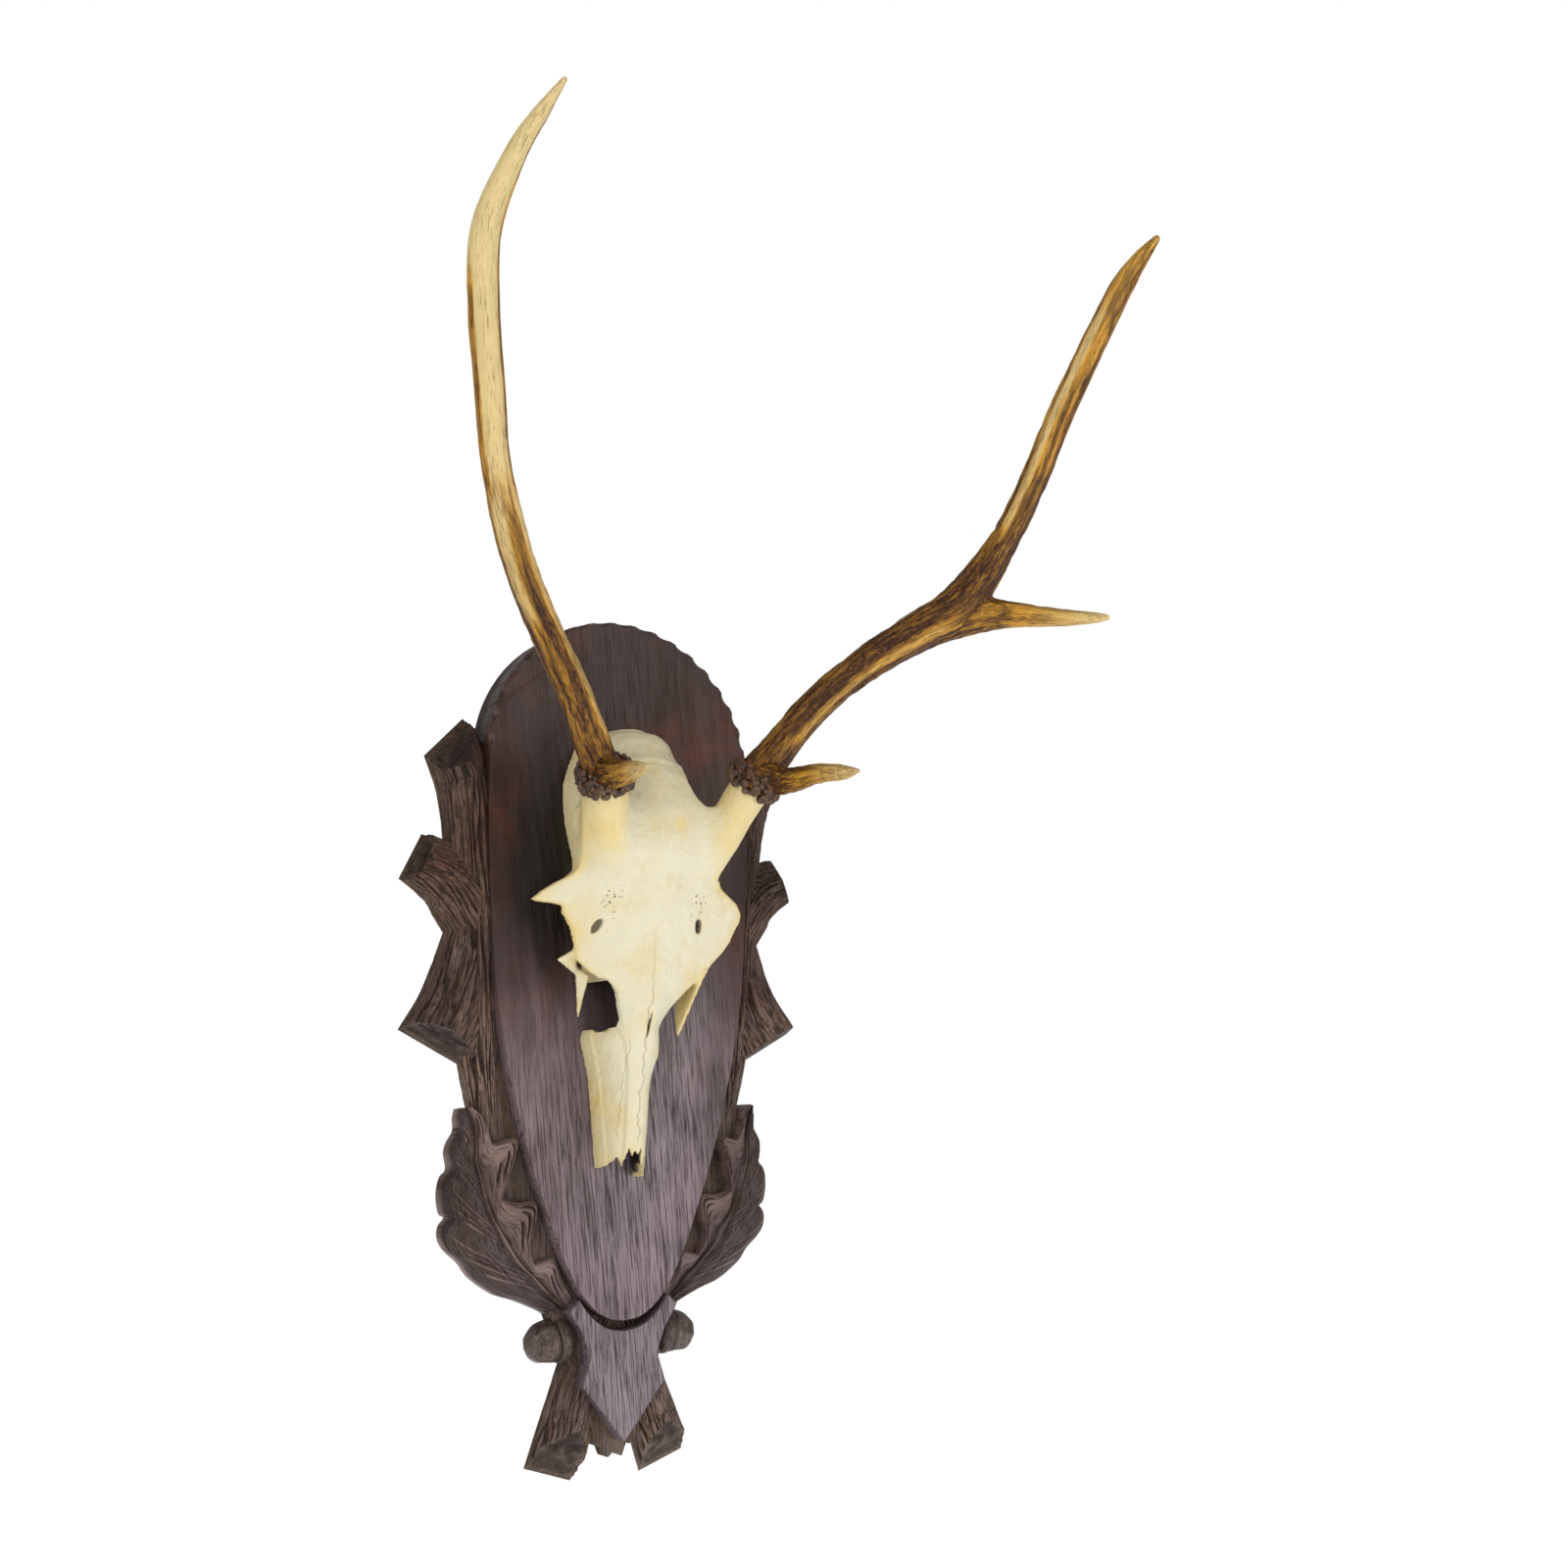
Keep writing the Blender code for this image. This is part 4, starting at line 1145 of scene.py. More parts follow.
    def carve(self, shell: Shell, mirror: bool) -> None:
        """Add one leaf to a shell."""
        at = np.linspace(0, 1, self.rows)
        out = np.linspace(-1, 1, 2 * self.columns + 1)
        out = np.sign(out) * (1 - (1 - np.abs(out)) ** 1.15)
        middle, outer, inner = (self.line(t, at) for t in (self.middle, self.outer, self.inner))
        edge = np.where((out > 0)[None, :, None], outer[:, None], inner[:, None])
        share = np.abs(out)[None, :, None]
        curl = share + 0.10 * np.sin(math.pi * share)
        place = middle[:, None] + (edge - middle[:, None]) * curl
        place = np.where(share >= 1, edge, place)
        grid_at, grid_out = np.broadcast_arrays(at[:, None], np.abs(out)[None])
        is_inner = (out < 0)[None] & np.ones((self.rows, 1), bool)
        rise = 0.72 + 0.28 * np.sin(math.pi * np.clip(grid_at * 0.86 + 0.1, 0, 1))
        outer_high = 17.5 + 1.6 * np.sin(math.pi * grid_out) - 6.0 * grid_out ** 2.2
        lobe_end = np.array(self.lobes)
        which = np.clip(np.searchsorted(lobe_end, grid_at, "right") - 1, 0, 3)
        part = (grid_at - lobe_end[which]) / (lobe_end[which + 1] - lobe_end[which])
        crest = np.sin(math.pi * np.clip(part * 0.9 + 0.08, 0, 1))
        inner_high = 16.8 + (3.4 + 2.4 * crest) * ramp(grid_out, 0.1, 0.75) - 2.4 * ramp(grid_out, 0.84, 1.0)
        high = np.where(is_inner, inner_high, outer_high - 1.4 * ramp(grid_out, 0.93, 1.0)) * rise
        vein = np.where(is_inner, self.veins(grid_at, grid_out, True), self.veins(grid_at, grid_out, False))
        rib = np.clip(1 - grid_out / 0.035, 0, 1)
        flank = np.exp(-((grid_out - 0.075) / 0.035) ** 2)
        high = high + vein * np.where(is_inner, -2.0, 0.8) + rib * 0.7 - flank * 0.9
        high = high + 0.22 * noise(np.stack([place[..., 0] / 5, place[..., 1] / 5, 0 * high], -1), 3)
        top = np.stack([place[..., 0], -high, place[..., 1]], -1)
        low = top * (1, 0, 1) - (0, 1.0, 0)
        grid = np.concatenate([top, low[:, ::-1]], axis=1)
        faces = tube_faces(self.rows, 2 * len(out))
        inner_shade = np.maximum(vein * 0.9, 0.5 * ramp(grid_out, 0.5, 0.15))
        shaded = np.where(is_inner, inner_shade, 0.62 - 0.5 * vein)
        hollow = np.maximum(shaded, flank * 0.7) - rib * 0.6
        hollow = np.concatenate([hollow, 0 * hollow], axis=1)
        wrap = np.stack([grid_out * 14, 0 * grid_out, grid_at * 140 + grid_out * 10], -1)
        wrap = np.concatenate([wrap, wrap[:, ::-1]], axis=1)
        dust = np.concatenate([0.25 + 0 * high, 0.9 + 0 * high], axis=1)
        shell.add(grid, faces, mirror, hollow=hollow, wrap=wrap, dust=dust)

    def build(self) -> None:
        """Carve both leaves."""
        finish = OakFinish("leaf_oak", Grain.LIMB, tone(112, 90, 84), tone(112, 90, 84), 0.35, 0.14, 0.36,
                           False, 0.95, 0.22)
        for side, mirror in (("right", False), ("left", True)):
            shell = Shell()
            self.carve(shell, mirror)
            dress(shell.piece(f"oak_leaf_{side}", 60), finish, "oak")


@dataclass
class Acorns:
    """Acorns on either side of the shield.

    Args:
        centre: Middle of the cup, across and up.
        turn: Way in which it points, in degrees from level.
        radius: Radius of the nut.
        length: Length from the middle of the cup to the tip.
        stand: How far its axis stands off the wall.
        profile: Radius and place along the axis, as shares.
    """

    centre: tuple = (30.0, -305.0)
    turn: float = -8.0
    radius: float = 11.2
    length: float = 20.0
    stand: float = 7.7
    profile: Rows = ((0.0, -0.35), (0.5, -0.36), (0.85, -0.30), (1.02, -0.15), (1.08, 0.0), (1.09, 0.2),
                     (1.05, 0.30), (0.99, 0.335), (0.955, 0.345), (0.955, 0.37), (1.0, 0.5),
                     (0.99, 0.75),
                     (0.94, 1.05), (0.84, 1.3), (0.62, 1.55), (0.36, 1.7), (0.16, 1.76), (0.0, 1.8))

    def build(self) -> None:
        """Turn and carve both acorns."""
        finish = OakFinish("acorn_oak", Grain.LIMB, tone(60, 47, 37), tone(60, 47, 37), 0.4, 0.1, 0.34, False,
                           0.9, 0.3)
        rows = even(smoothed(self.profile, 5), 0.03, 2)
        turns = np.linspace(0, 2 * math.pi, 72, endpoint=False)
        facet = 1 - 0.10 * np.abs(np.sin(turns * 3.5 + 0.4))[None] * ramp(rows[:, 1], 0.35, 0.9)[:, None]
        radius = rows[:, :1] * facet * self.radius
        along = rows[:, 1:] * self.length / 1.8 * np.ones(len(turns))
        local = np.stack([along, radius * np.cos(turns), radius * np.sin(turns)], -1)
        local = local + 0.25 * noise(local / 4, 7)[..., None] * (0, 1, 1)
        lean = math.radians(self.turn)
        x = self.centre[0] + local[..., 0] * math.cos(lean) - local[..., 2] * math.sin(lean)
        z = self.centre[1] + local[..., 0] * math.sin(lean) + local[..., 2] * math.cos(lean)
        y = np.minimum(-self.stand - local[..., 1], -0.7)
        grid = np.stack([x, y, z], -1)
        faces = tube_faces(len(rows), len(turns))
        # Painted shade in the groove at the cup's rim
        groove = np.exp(-((rows[:, 1] - 0.345) / 0.05) ** 2)[:, None] * np.ones(len(turns))
        for side, mirror in (("right", False), ("left", True)):
            shell = Shell()
            shell.add(grid, faces, mirror, hollow=groove, wrap=local, dust=0.4 + 0.6 * groove)
            dress(shell.piece(f"acorn_{side}", 45), finish, "oak")


# Skull

@dataclass
class Skull:
    """Cut upper skull, formed as a field of distances and skinned.

    Args:
        middle: Place of its midline across.
        step: Spacing of the field.
        wall: Thickness of the vault's bone.
        plate: Thickness of the torn plates.
        vault: Crown rows: up, half-width, crest.
        brow: Forehead rows: up, crest, thickness, fall to the left and to the right.
        left_edge: Outline of the forehead's left side: up, half-width.
        right_edge: Outline of its right side.
        snout: Snout rows: up, left and right half-widths, crest.
        blades: Torn plates of thin bone, three corners each: across from the midline, off the panel, up.
        pedicles: Root and seat of each pedicle; the line between them is the antler's axis.
        root_drop: How far below that line the pedicle springs from the forehead.
        seam: Edge of the left plate beside the nasal bones: up, across.
        holes: Openings in the forehead: across, up, lean.
        hole_size: Their half-width and half-height.
        teeth: Jagged lower end of the nose: across, up.
    """

    middle: float = MIDLINE
    step: float = 0.95
    wall: float = 3.2
    plate: float = 2.0
    vault: Rows = ((12.5, 12, 13, 24), (10, 19, 19, 33), (7, 24, 22.5, 37), (2, 27, 25, 41),
                   (-11, 31.5, 27, 47),
                   (-20, 33, 33, 51), (-38, 31.5, 34, 55), (-58, 27, 33, 56), (-80, 26, 30, 50),
                   (-98, 23, 25, 42))
    brow: Rows = ((-10, 42, 24, 8, 2), (-20, 50, 30, 8, 2), (-34, 58, 32, 9, 2),
                  (-46, 59, 30, 13, 3), (-58, 57, 24, 15, 6),
                  (-70, 54, 14, 16, 7), (-80, 51, 8, 16, 7), (-90, 49, 5.5, 17, 8),
                  (-101, 46, 4.5, 19, 8.5),
                  (-113, 43.5, 4, 21, 10), (-124, 41, 3.6, 26, 17), (-136, 37.5, 3.6, 40, 34),
                  (-148, 32, 3.6, 60, 60))
    left_edge: Rows = ((-148, 6), (-137, 14), (-128, 21), (-124, 24), (-121, 28), (-118, 32),
                       (-115, 35),
                       (-113, 37), (-111, 38), (-108, 38.5), (-103, 40), (-97, 42), (-92, 45),
                       (-89, 47), (-85.2, 47.5),
                       (-84.2, 53), (-83.2, 59), (-82, 61), (-78, 57), (-74, 51.5), (-71, 46),
                       (-67, 42),
                       (-62, 41), (-50, 41), (-35, 42), (-28, 34), (-19, 22))
    right_edge: Rows = ((-148, 8), (-137, 17), (-127, 27), (-120, 34), (-113, 40), (-107, 46),
                        (-101, 50.5), (-96, 52.5),
                        (-90, 56), (-86, 56), (-81, 51.5), (-77, 44), (-74, 39), (-69, 35.5), (-61, 36),
                        (-52, 41), (-44, 43), (-37, 36), (-32, 24), (-28, 19), (-19, 14))
    snout: Rows = ((-96, 24, 24, 40), (-116, 21, 21, 39), (-134, 18, 19, 37), (-145, 20, 15.5, 34.5),
                   (-152, 22, 17.5, 33), (-161, 20, 17.5, 31), (-169, 18.5, 14, 29.5),
                   (-178, 17, 12, 28),
                   (-203, 15, 11.5, 24), (-226, 13, 11, 21))
    blades: tuple = (((-37, 28, -107), (-45, 19, -112), (-33, 18, -119)),
                     ((-33.5, 18, -115), (-26.5, 21, -120), (-27, 8, -142)),
                     ((35, 36, -117), (29, 12, -117), (28, 17, -151)))
    pedicles: tuple = (RIGHT_PEDICLE, LEFT_PEDICLE)
    root_drop: float = 4.0
    seam: Rows = ((-230, -12), (-203, -12), (-168, -13), (-155, -15.5), (-148, -19.5), (-146, -26))
    holes: tuple = ((-30.5, -96, 0.35), (26, -94.5, -0.1))
    hole_size: tuple = (2.1, 3.6)
    teeth: Rows = ((-30, -218), (-20, -220), (-16, -217), (-13, -213), (-12, -220), (-10.5, -214),
                   (-8.5, -208), (-7.2, -214), (-5.5, -209), (-3.6, -213), (-2.2, -208), (-0.6, -220),
                   (1.2, -211), (3.0, -216), (4.6, -224), (7, -219), (20, -219))

    def rows_at(self, table: Rows, up: np.ndarray) -> list[np.ndarray]:
        """Read a table's columns at some heights."""
        fine = smoothed(table, 8)[::-1]
        return [np.interp(up, fine[:, 0], fine[:, k]) for k in range(1, fine.shape[1])]

    def brow_width(self, across: np.ndarray, up: np.ndarray) -> np.ndarray:
        """Half-width of the forehead at some places."""
        left = np.interp(up, *zip(*self.left_edge))
        right = np.interp(up, *zip(*self.right_edge))
        return np.where(across > 0, right, left)

    def even_field(self, field: np.ndarray) -> np.ndarray:
        """Turn a field into rough distances, by its own slope."""
        slopes = np.gradient(field, self.step)
        return field / np.clip(np.sqrt(sum(s * s for s in slopes)), 0.35, None)

    def arch(self, across: np.ndarray, off: np.ndarray, left: np.ndarray, right: np.ndarray,
             crest: np.ndarray) -> np.ndarray:
        """Field of a vault that stands on the panel."""
        half = np.where(across > 0, right, left)
        shape = np.sqrt((across / half) ** 2 + (np.clip(off, 0, None) / crest) ** 2.5) - 1
        return self.even_field(shape * np.minimum(half, crest))

    def join(self, one: np.ndarray, two: np.ndarray, soft: float) -> np.ndarray:
        """Join two fields with a rounded corner."""
        share = np.clip(0.5 + 0.5 * (two - one) / soft, 0, 1)
        return two + (one - two) * share - soft * share * (1 - share)

    def cone(self, at: np.ndarray, start: Sequence[float], end: Sequence[float],
             first: float, last: float) -> np.ndarray:
        """Field of a round cone between two points."""
        a, b = np.array(start, float), np.array(end, float)
        run = b - a
        share = np.clip(((at - a) @ run) / (run @ run), 0, 1)
        return np.linalg.norm(at - a - share[..., None] * run, axis=-1) - (first + (last - first) * share)

    def blade(self, at: np.ndarray, corners: Sequence) -> np.ndarray:
        """Field of a thin plate with three corners."""
        a, b, c = (np.array(corner, float) for corner in corners)
        face = np.cross(b - a, c - a)
        face /= np.linalg.norm(face)
        field = np.abs((at - a) @ face) - self.plate / 2
        for start, end, other in ((a, b, c), (b, c, a), (c, a, b)):
            out = np.cross(end - start, face)
            out /= np.linalg.norm(out) * np.sign((start - other) @ out)
            field = np.maximum(field, (at - start) @ out)
        return field

    def hole_reach(self, across: np.ndarray, up: np.ndarray, hole: Sequence[float]) -> np.ndarray:
        """Distance from a hole's middle, 1 at its rim.

        Args:
            across: Places across from the midline.
            up: Places up.
            hole: The hole.

        Returns:
            The distances.
        """
        hole_x, hole_z, lean = hole
        wide, tall = self.hole_size
        shift = across - hole_x - lean * (up - hole_z)
        return np.sqrt((shift / wide) ** 2 + ((up - hole_z) / tall) ** 2)

    def field(self, across: np.ndarray, off: np.ndarray, up: np.ndarray) -> np.ndarray:
        """Distance field of the whole skull, in its own frame.

        Args:
            across: Places across from the midline.
            off: Places off the panel.
            up: Places up.

        Returns:
            The field, negative inside the bone.
        """
        at = np.stack([across, off, up], -1)
        left, right, crest = self.rows_at(self.vault, up)
        crown = np.maximum(self.arch(across, off, left, right, crest), np.maximum(up - 14, -100 - up))
        left, right, high = self.rows_at(self.snout, up)
        nose = np.maximum(self.arch(across, off, left, right, high), np.maximum(up + 94, -226 - up))
        vaults = self.join(crown, nose, 8.0)
        crest, wall, left, right = self.rows_at(self.brow, up)
        fall = np.where(across > 0, right, left) * (np.abs(across) / 45) ** 1.5
        front = crest - fall
        width = self.brow_width(across, up)
        wall = wall * (1 - 0.4 * np.clip(np.abs(across) / width, 0, 1) ** 2)
        sheet = np.maximum(self.even_field(off - front), self.even_field(front - wall - off))
        rim = self.even_field(np.abs(across) - width)
        sheet = np.maximum(sheet, rim)
        sheet = np.maximum(sheet, np.maximum(up + 12, -147 - up))
        solid = self.join(vaults, sheet, 5.0 + 9.0 * ramp(up, -72, -56))
        for (root, seat), soft in zip(self.pedicles, (8.0, 15.0)):
            low_root = np.subtract(root, (0, 0, self.root_drop))
            solid = self.join(solid, self.cone(at, low_root, seat, 9.5, 11.0), soft)
        uncut = solid
        solid = np.maximum(solid, -(vaults + self.wall))
        x = across + self.middle
        gap = np.interp(up, [-150, -147, -143, -129, -123, -118], [-24, -20, -17.5, -21.5, -27, -40])
        gap = gap + 9 * ramp(off, 27, 21)
        hole = np.maximum(x - gap, np.maximum(up + 122.5, -147.5 - up + 0.8 * np.sin(x * 0.9)))
        solid = np.maximum(solid, -np.maximum(hole, -60 - x))
        void = np.maximum.reduce([across - 9, uncut + 2.8, up + 119, -147 - up, -30 - across])
        solid = np.maximum(solid, -void)
        for corners in self.blades:
            blade = self.blade(at, corners)
            solid = self.join(solid, blade, 2.5)
            uncut = np.minimum(uncut, blade)
        self.uncut = uncut
        for hole in self.holes:
            pit = (self.hole_reach(across, up, hole) - 1) * self.hole_size[0]
            solid = np.maximum(solid, -np.maximum(pit, front - 4.2 - off))
        slit = np.sqrt(((across - 1.5 - 0.08 * (up + 146)) / 0.8) ** 2 + ((up + 146) / 6.5) ** 2) - 1
        solid = np.maximum(solid, -np.maximum(slit * 0.8, 20 - off))
        ends = np.interp(x, *zip(*self.teeth))
        solid = np.maximum(solid, (ends - up) * 0.6)
        for root, seat in self.pedicles:
            a, b = np.array(root, float), np.array(seat, float)
            way = (b - a) / np.linalg.norm(b - a)
            solid = np.maximum(solid, np.where(np.linalg.norm(at - b, axis=-1) < 22, (at - b) @ way, -9.0))
        return np.maximum(solid, 0.4 - off)

    def build(self) -> None:
        """Skin the skull and mark its edges, stains, pits and the painted shade inside it."""
        low = np.array([-75.0, -3.0, -230.0])
        high = np.array([72.0, 82.0, 20.0])
        counts = ((high - low) / self.step).astype(int)
        axes = [low[k] + np.arange(counts[k]) * self.step for k in range(3)]
        across, off, up = np.meshgrid(*axes, indexing="ij")
        field = self.field(across, off, up)
        points, faces = surface_net(field, low, self.step)
        across, off, up = points.T
        wave = noise(points / 9, 4) * 0.5 + noise(points / 4, 5) * 0.22
        shell = Shell()
        placed = np.column_stack([across + self.middle, -BOARD - off, up])
        width = self.brow_width(across, up)
        rim = np.exp(-np.abs(width - np.abs(across)) / 4.0) * ((up < -60) & (up > -130))
        tip = ramp(up, -196, -222) * 0.8
        blade = self.blade(points, self.blades[2])
        behind = ramp(off, 30, 6) * 0.7
        lobe = ramp(across, -26, -36) * ramp(up, -66, -50) * 0.6
        crown = ramp(up, -62, -24) * 0.35
        root = ramp(np.abs(across), 20, 36) * ramp(up, -74, -50) * ramp(off, 34, 44)
        torn = np.minimum(self.blade(points, self.blades[0]), self.blade(points, self.blades[1]))
        marks = [rim, tip, behind, lobe, crown, root, ramp(blade, 2.5, 0.5), ramp(torn, 1.2, 0.2) * 0.3]
        edge = np.clip(np.maximum.reduce(marks), 0, 1)
        stain = np.exp(-(((across - 6) / 4) ** 2 + ((up + 43) / 3.5) ** 2)) * (off > 40) * 0.8
        pitted = np.exp(-(((np.abs(across) - 25) / 5) ** 2 + ((up + 84) / 9) ** 2)) * (off > 30)
        cell = tuple(np.clip(((points - low) / self.step).round().astype(int), 0, counts - 1).T)
        # Painted shade: bone deep inside and the insides of the holes are marked to be painted near black
        inside = ramp(-self.uncut[cell], 1.5, 2.6)
        for hole in self.holes:
            near = self.hole_reach(across, up, hole)
            inside = np.maximum(inside, ramp(near, 1.12, 0.85) * (off > 20))
        shell.add(placed, [tuple(face) for face in faces], edge=edge, stain=stain, pitted=pitted,
                  inside=inside)
        item = shell.piece("skull_bone", 180)
        soft = item.modifiers.new("soft", "SMOOTH")
        soft.factor = 0.5
        soft.iterations = 3
        item = baked(item)
        past = np.interp(up, *zip(*self.seam)) - placed[:, 0]
        plate = ramp(past, -0.6, 0.6) * ramp(up, -144, -147) * (inside < 0.5) * (off > 12)
        seamed = np.exp(-(past / 0.9) ** 2) * ramp(up, -144, -147) * (off > 12)
        shift = wave * 0.45 - plate * 0.9 - seamed * 0.5
        set_points(item, vertices(item) + normals(item) * shift[:, None])
        dress(item, BoneFinish(), "bone", "skull")


# Antlers

# Points that are measured at a time
BATCH = 4000
# Length set aside for each limb in the furrows' coordinates
LIMB_RUN = 400

@dataclass
class BurrPearls:
    """Geometry nodes that set knobbly pearls round an antler's burr.

    Args:
        radius: Radius of the burr.
        height: Height of the pearled band.
        count: How many pearls.
        size: Mean radius of a pearl.
        seed: Which scatter.
    """

    radius: float = 14.6
    height: float = 12.0
    count: int = 240
    size: float = 1.7
    seed: int = 1

    def tree(self, finish: Finish) -> bpy.types.NodeTree:
        """Build the tree with its named sizes."""
        name = "burr_pearls"
        if name in bpy.data.node_groups:
            return bpy.data.node_groups[name]
        tree = bpy.data.node_groups.new(name, "GeometryNodeTree")
        face = tree.interface
        face.new_socket("Base", in_out="INPUT", socket_type="NodeSocketGeometry")
        for label, kind in (("Burr radius", "NodeSocketFloat"), ("Band height", "NodeSocketFloat"),
                            ("Pearls", "NodeSocketInt"), ("Pearl size", "NodeSocketFloat"),
                            ("Seed", "NodeSocketInt")):
            face.new_socket(label, in_out="INPUT", socket_type=kind)
        face.new_socket("Pearls out", in_out="OUTPUT", socket_type="NodeSocketGeometry")
        kit = NodeKit(tree)
        given = kit.node("NodeGroupInput")
        radius, height, count, size, seed = (Wire(kit, given.outputs[k]) for k in range(1, 6))

        def chance(low: float, high: float, number: int) -> Wire:
            """A random number for each pearl."""
            return kit.wire("FunctionNodeRandomValue", 1, {"data_type": "FLOAT"},
                            {2: low, 3: high, "Seed": seed + number})

        points = kit.wire("GeometryNodePoints", 0, None, {"Count": count})
        turn = kit.wire("GeometryNodeInputIndex") * 2.399963 + chance(-0.2, 0.2, 1)
        level = chance(0.0, 1.0, 2)
        swell = 1.0 - (level - 0.45).size() * 0.28
        reach = radius * swell * chance(0.97, 1.03, 3)
        place = kit.wire("ShaderNodeCombineXYZ", 0, None,
                         {0: kit.math("COSINE", turn) * reach, 1: kit.math("SINE", turn) * reach,
                          2: level * height})
        moved = kit.wire("GeometryNodeSetPosition", 0, None, {"Geometry": points, "Position": place})
        pearl = kit.wire("GeometryNodeMeshIcoSphere", 0, None, {"Radius": size, "Subdivisions": 2})
        spread = kit.wire("GeometryNodeInstanceOnPoints", 0, None,
                          {"Points": moved, "Instance": pearl, "Scale": chance(0.6, 1.35, 4)})
        real = kit.wire("GeometryNodeRealizeInstances", 0, None, {0: spread})
        coated = kit.wire("GeometryNodeSetMaterial", 0, None,
                          {"Geometry": real, "Material": finish.material()})
        kit.node("NodeGroupOutput", None, {0: coated})
        return tree

    def set_round(self, name: str, seat: np.ndarray, way: np.ndarray) -> bpy.types.Object:
        """Make the pearls round a seat.

        Args:
            name: The piece's name.
            seat: Middle of the burr's lower face, in millimetres.
            way: Direction of the burr's axis.

        Returns:
            The finished piece.
        """
        item = bpy.data.objects.new(name, bpy.data.meshes.new(name))
        bpy.context.scene.collection.objects.link(item)
        step = item.modifiers.new("burr_pearls", "NODES")
        tree = self.tree(BurrFinish())
        step.node_group = tree
        sizes = {"Burr radius": self.radius * MM, "Band height": self.height * MM, "Pearls": self.count,
                 "Pearl size": self.size * MM, "Seed": self.seed}
        for socket in tree.interface.items_tree:
            if socket.name in sizes and socket.in_out == "INPUT":
                step[socket.identifier] = sizes[socket.name]
        item = baked(item)
        turn = Vector(way).to_track_quat("Z", "Y").to_matrix().to_4x4()
        item.data.transform(Matrix.Translation(Vector(seat) * MM) @ turn)
        item.data.shade_smooth()
        return item


@dataclass(frozen=True)
class Stripe:
    """A stripe along one side of a beam: a bright golden ridge or a brown shade.

    Args:
        side: Direction in which the stripe faces.
        start: Where it starts along the beam, as a share.
        end: Where it ends.
        width: Cosine past which a point lies on it.
    """

    side: tuple
    start: float
    end: float
    width: float = 0.9

    def strength(self, facing: np.ndarray, ways: np.ndarray, share: np.ndarray) -> np.ndarray:
        """How strongly the stripe shows at some points of the beam.

        Args:
            facing: Directions from the beam's middle line to the points.
            ways: Directions of the beam there.
            share: Shares of the beam's length there.

        Returns:
            Strength from 0 to 1.
        """
        aim = np.array(self.side) / np.linalg.norm(self.side)
        flat = aim - ways * (ways @ aim)[:, None]
        flat /= np.linalg.norm(flat, axis=1)[:, None]
        across = ramp((facing * flat).sum(1), self.width - 0.05, self.width + 0.05)
        return across * ramp(share, self.start, self.start + 0.05) * ramp(share, self.end, self.end - 0.06)


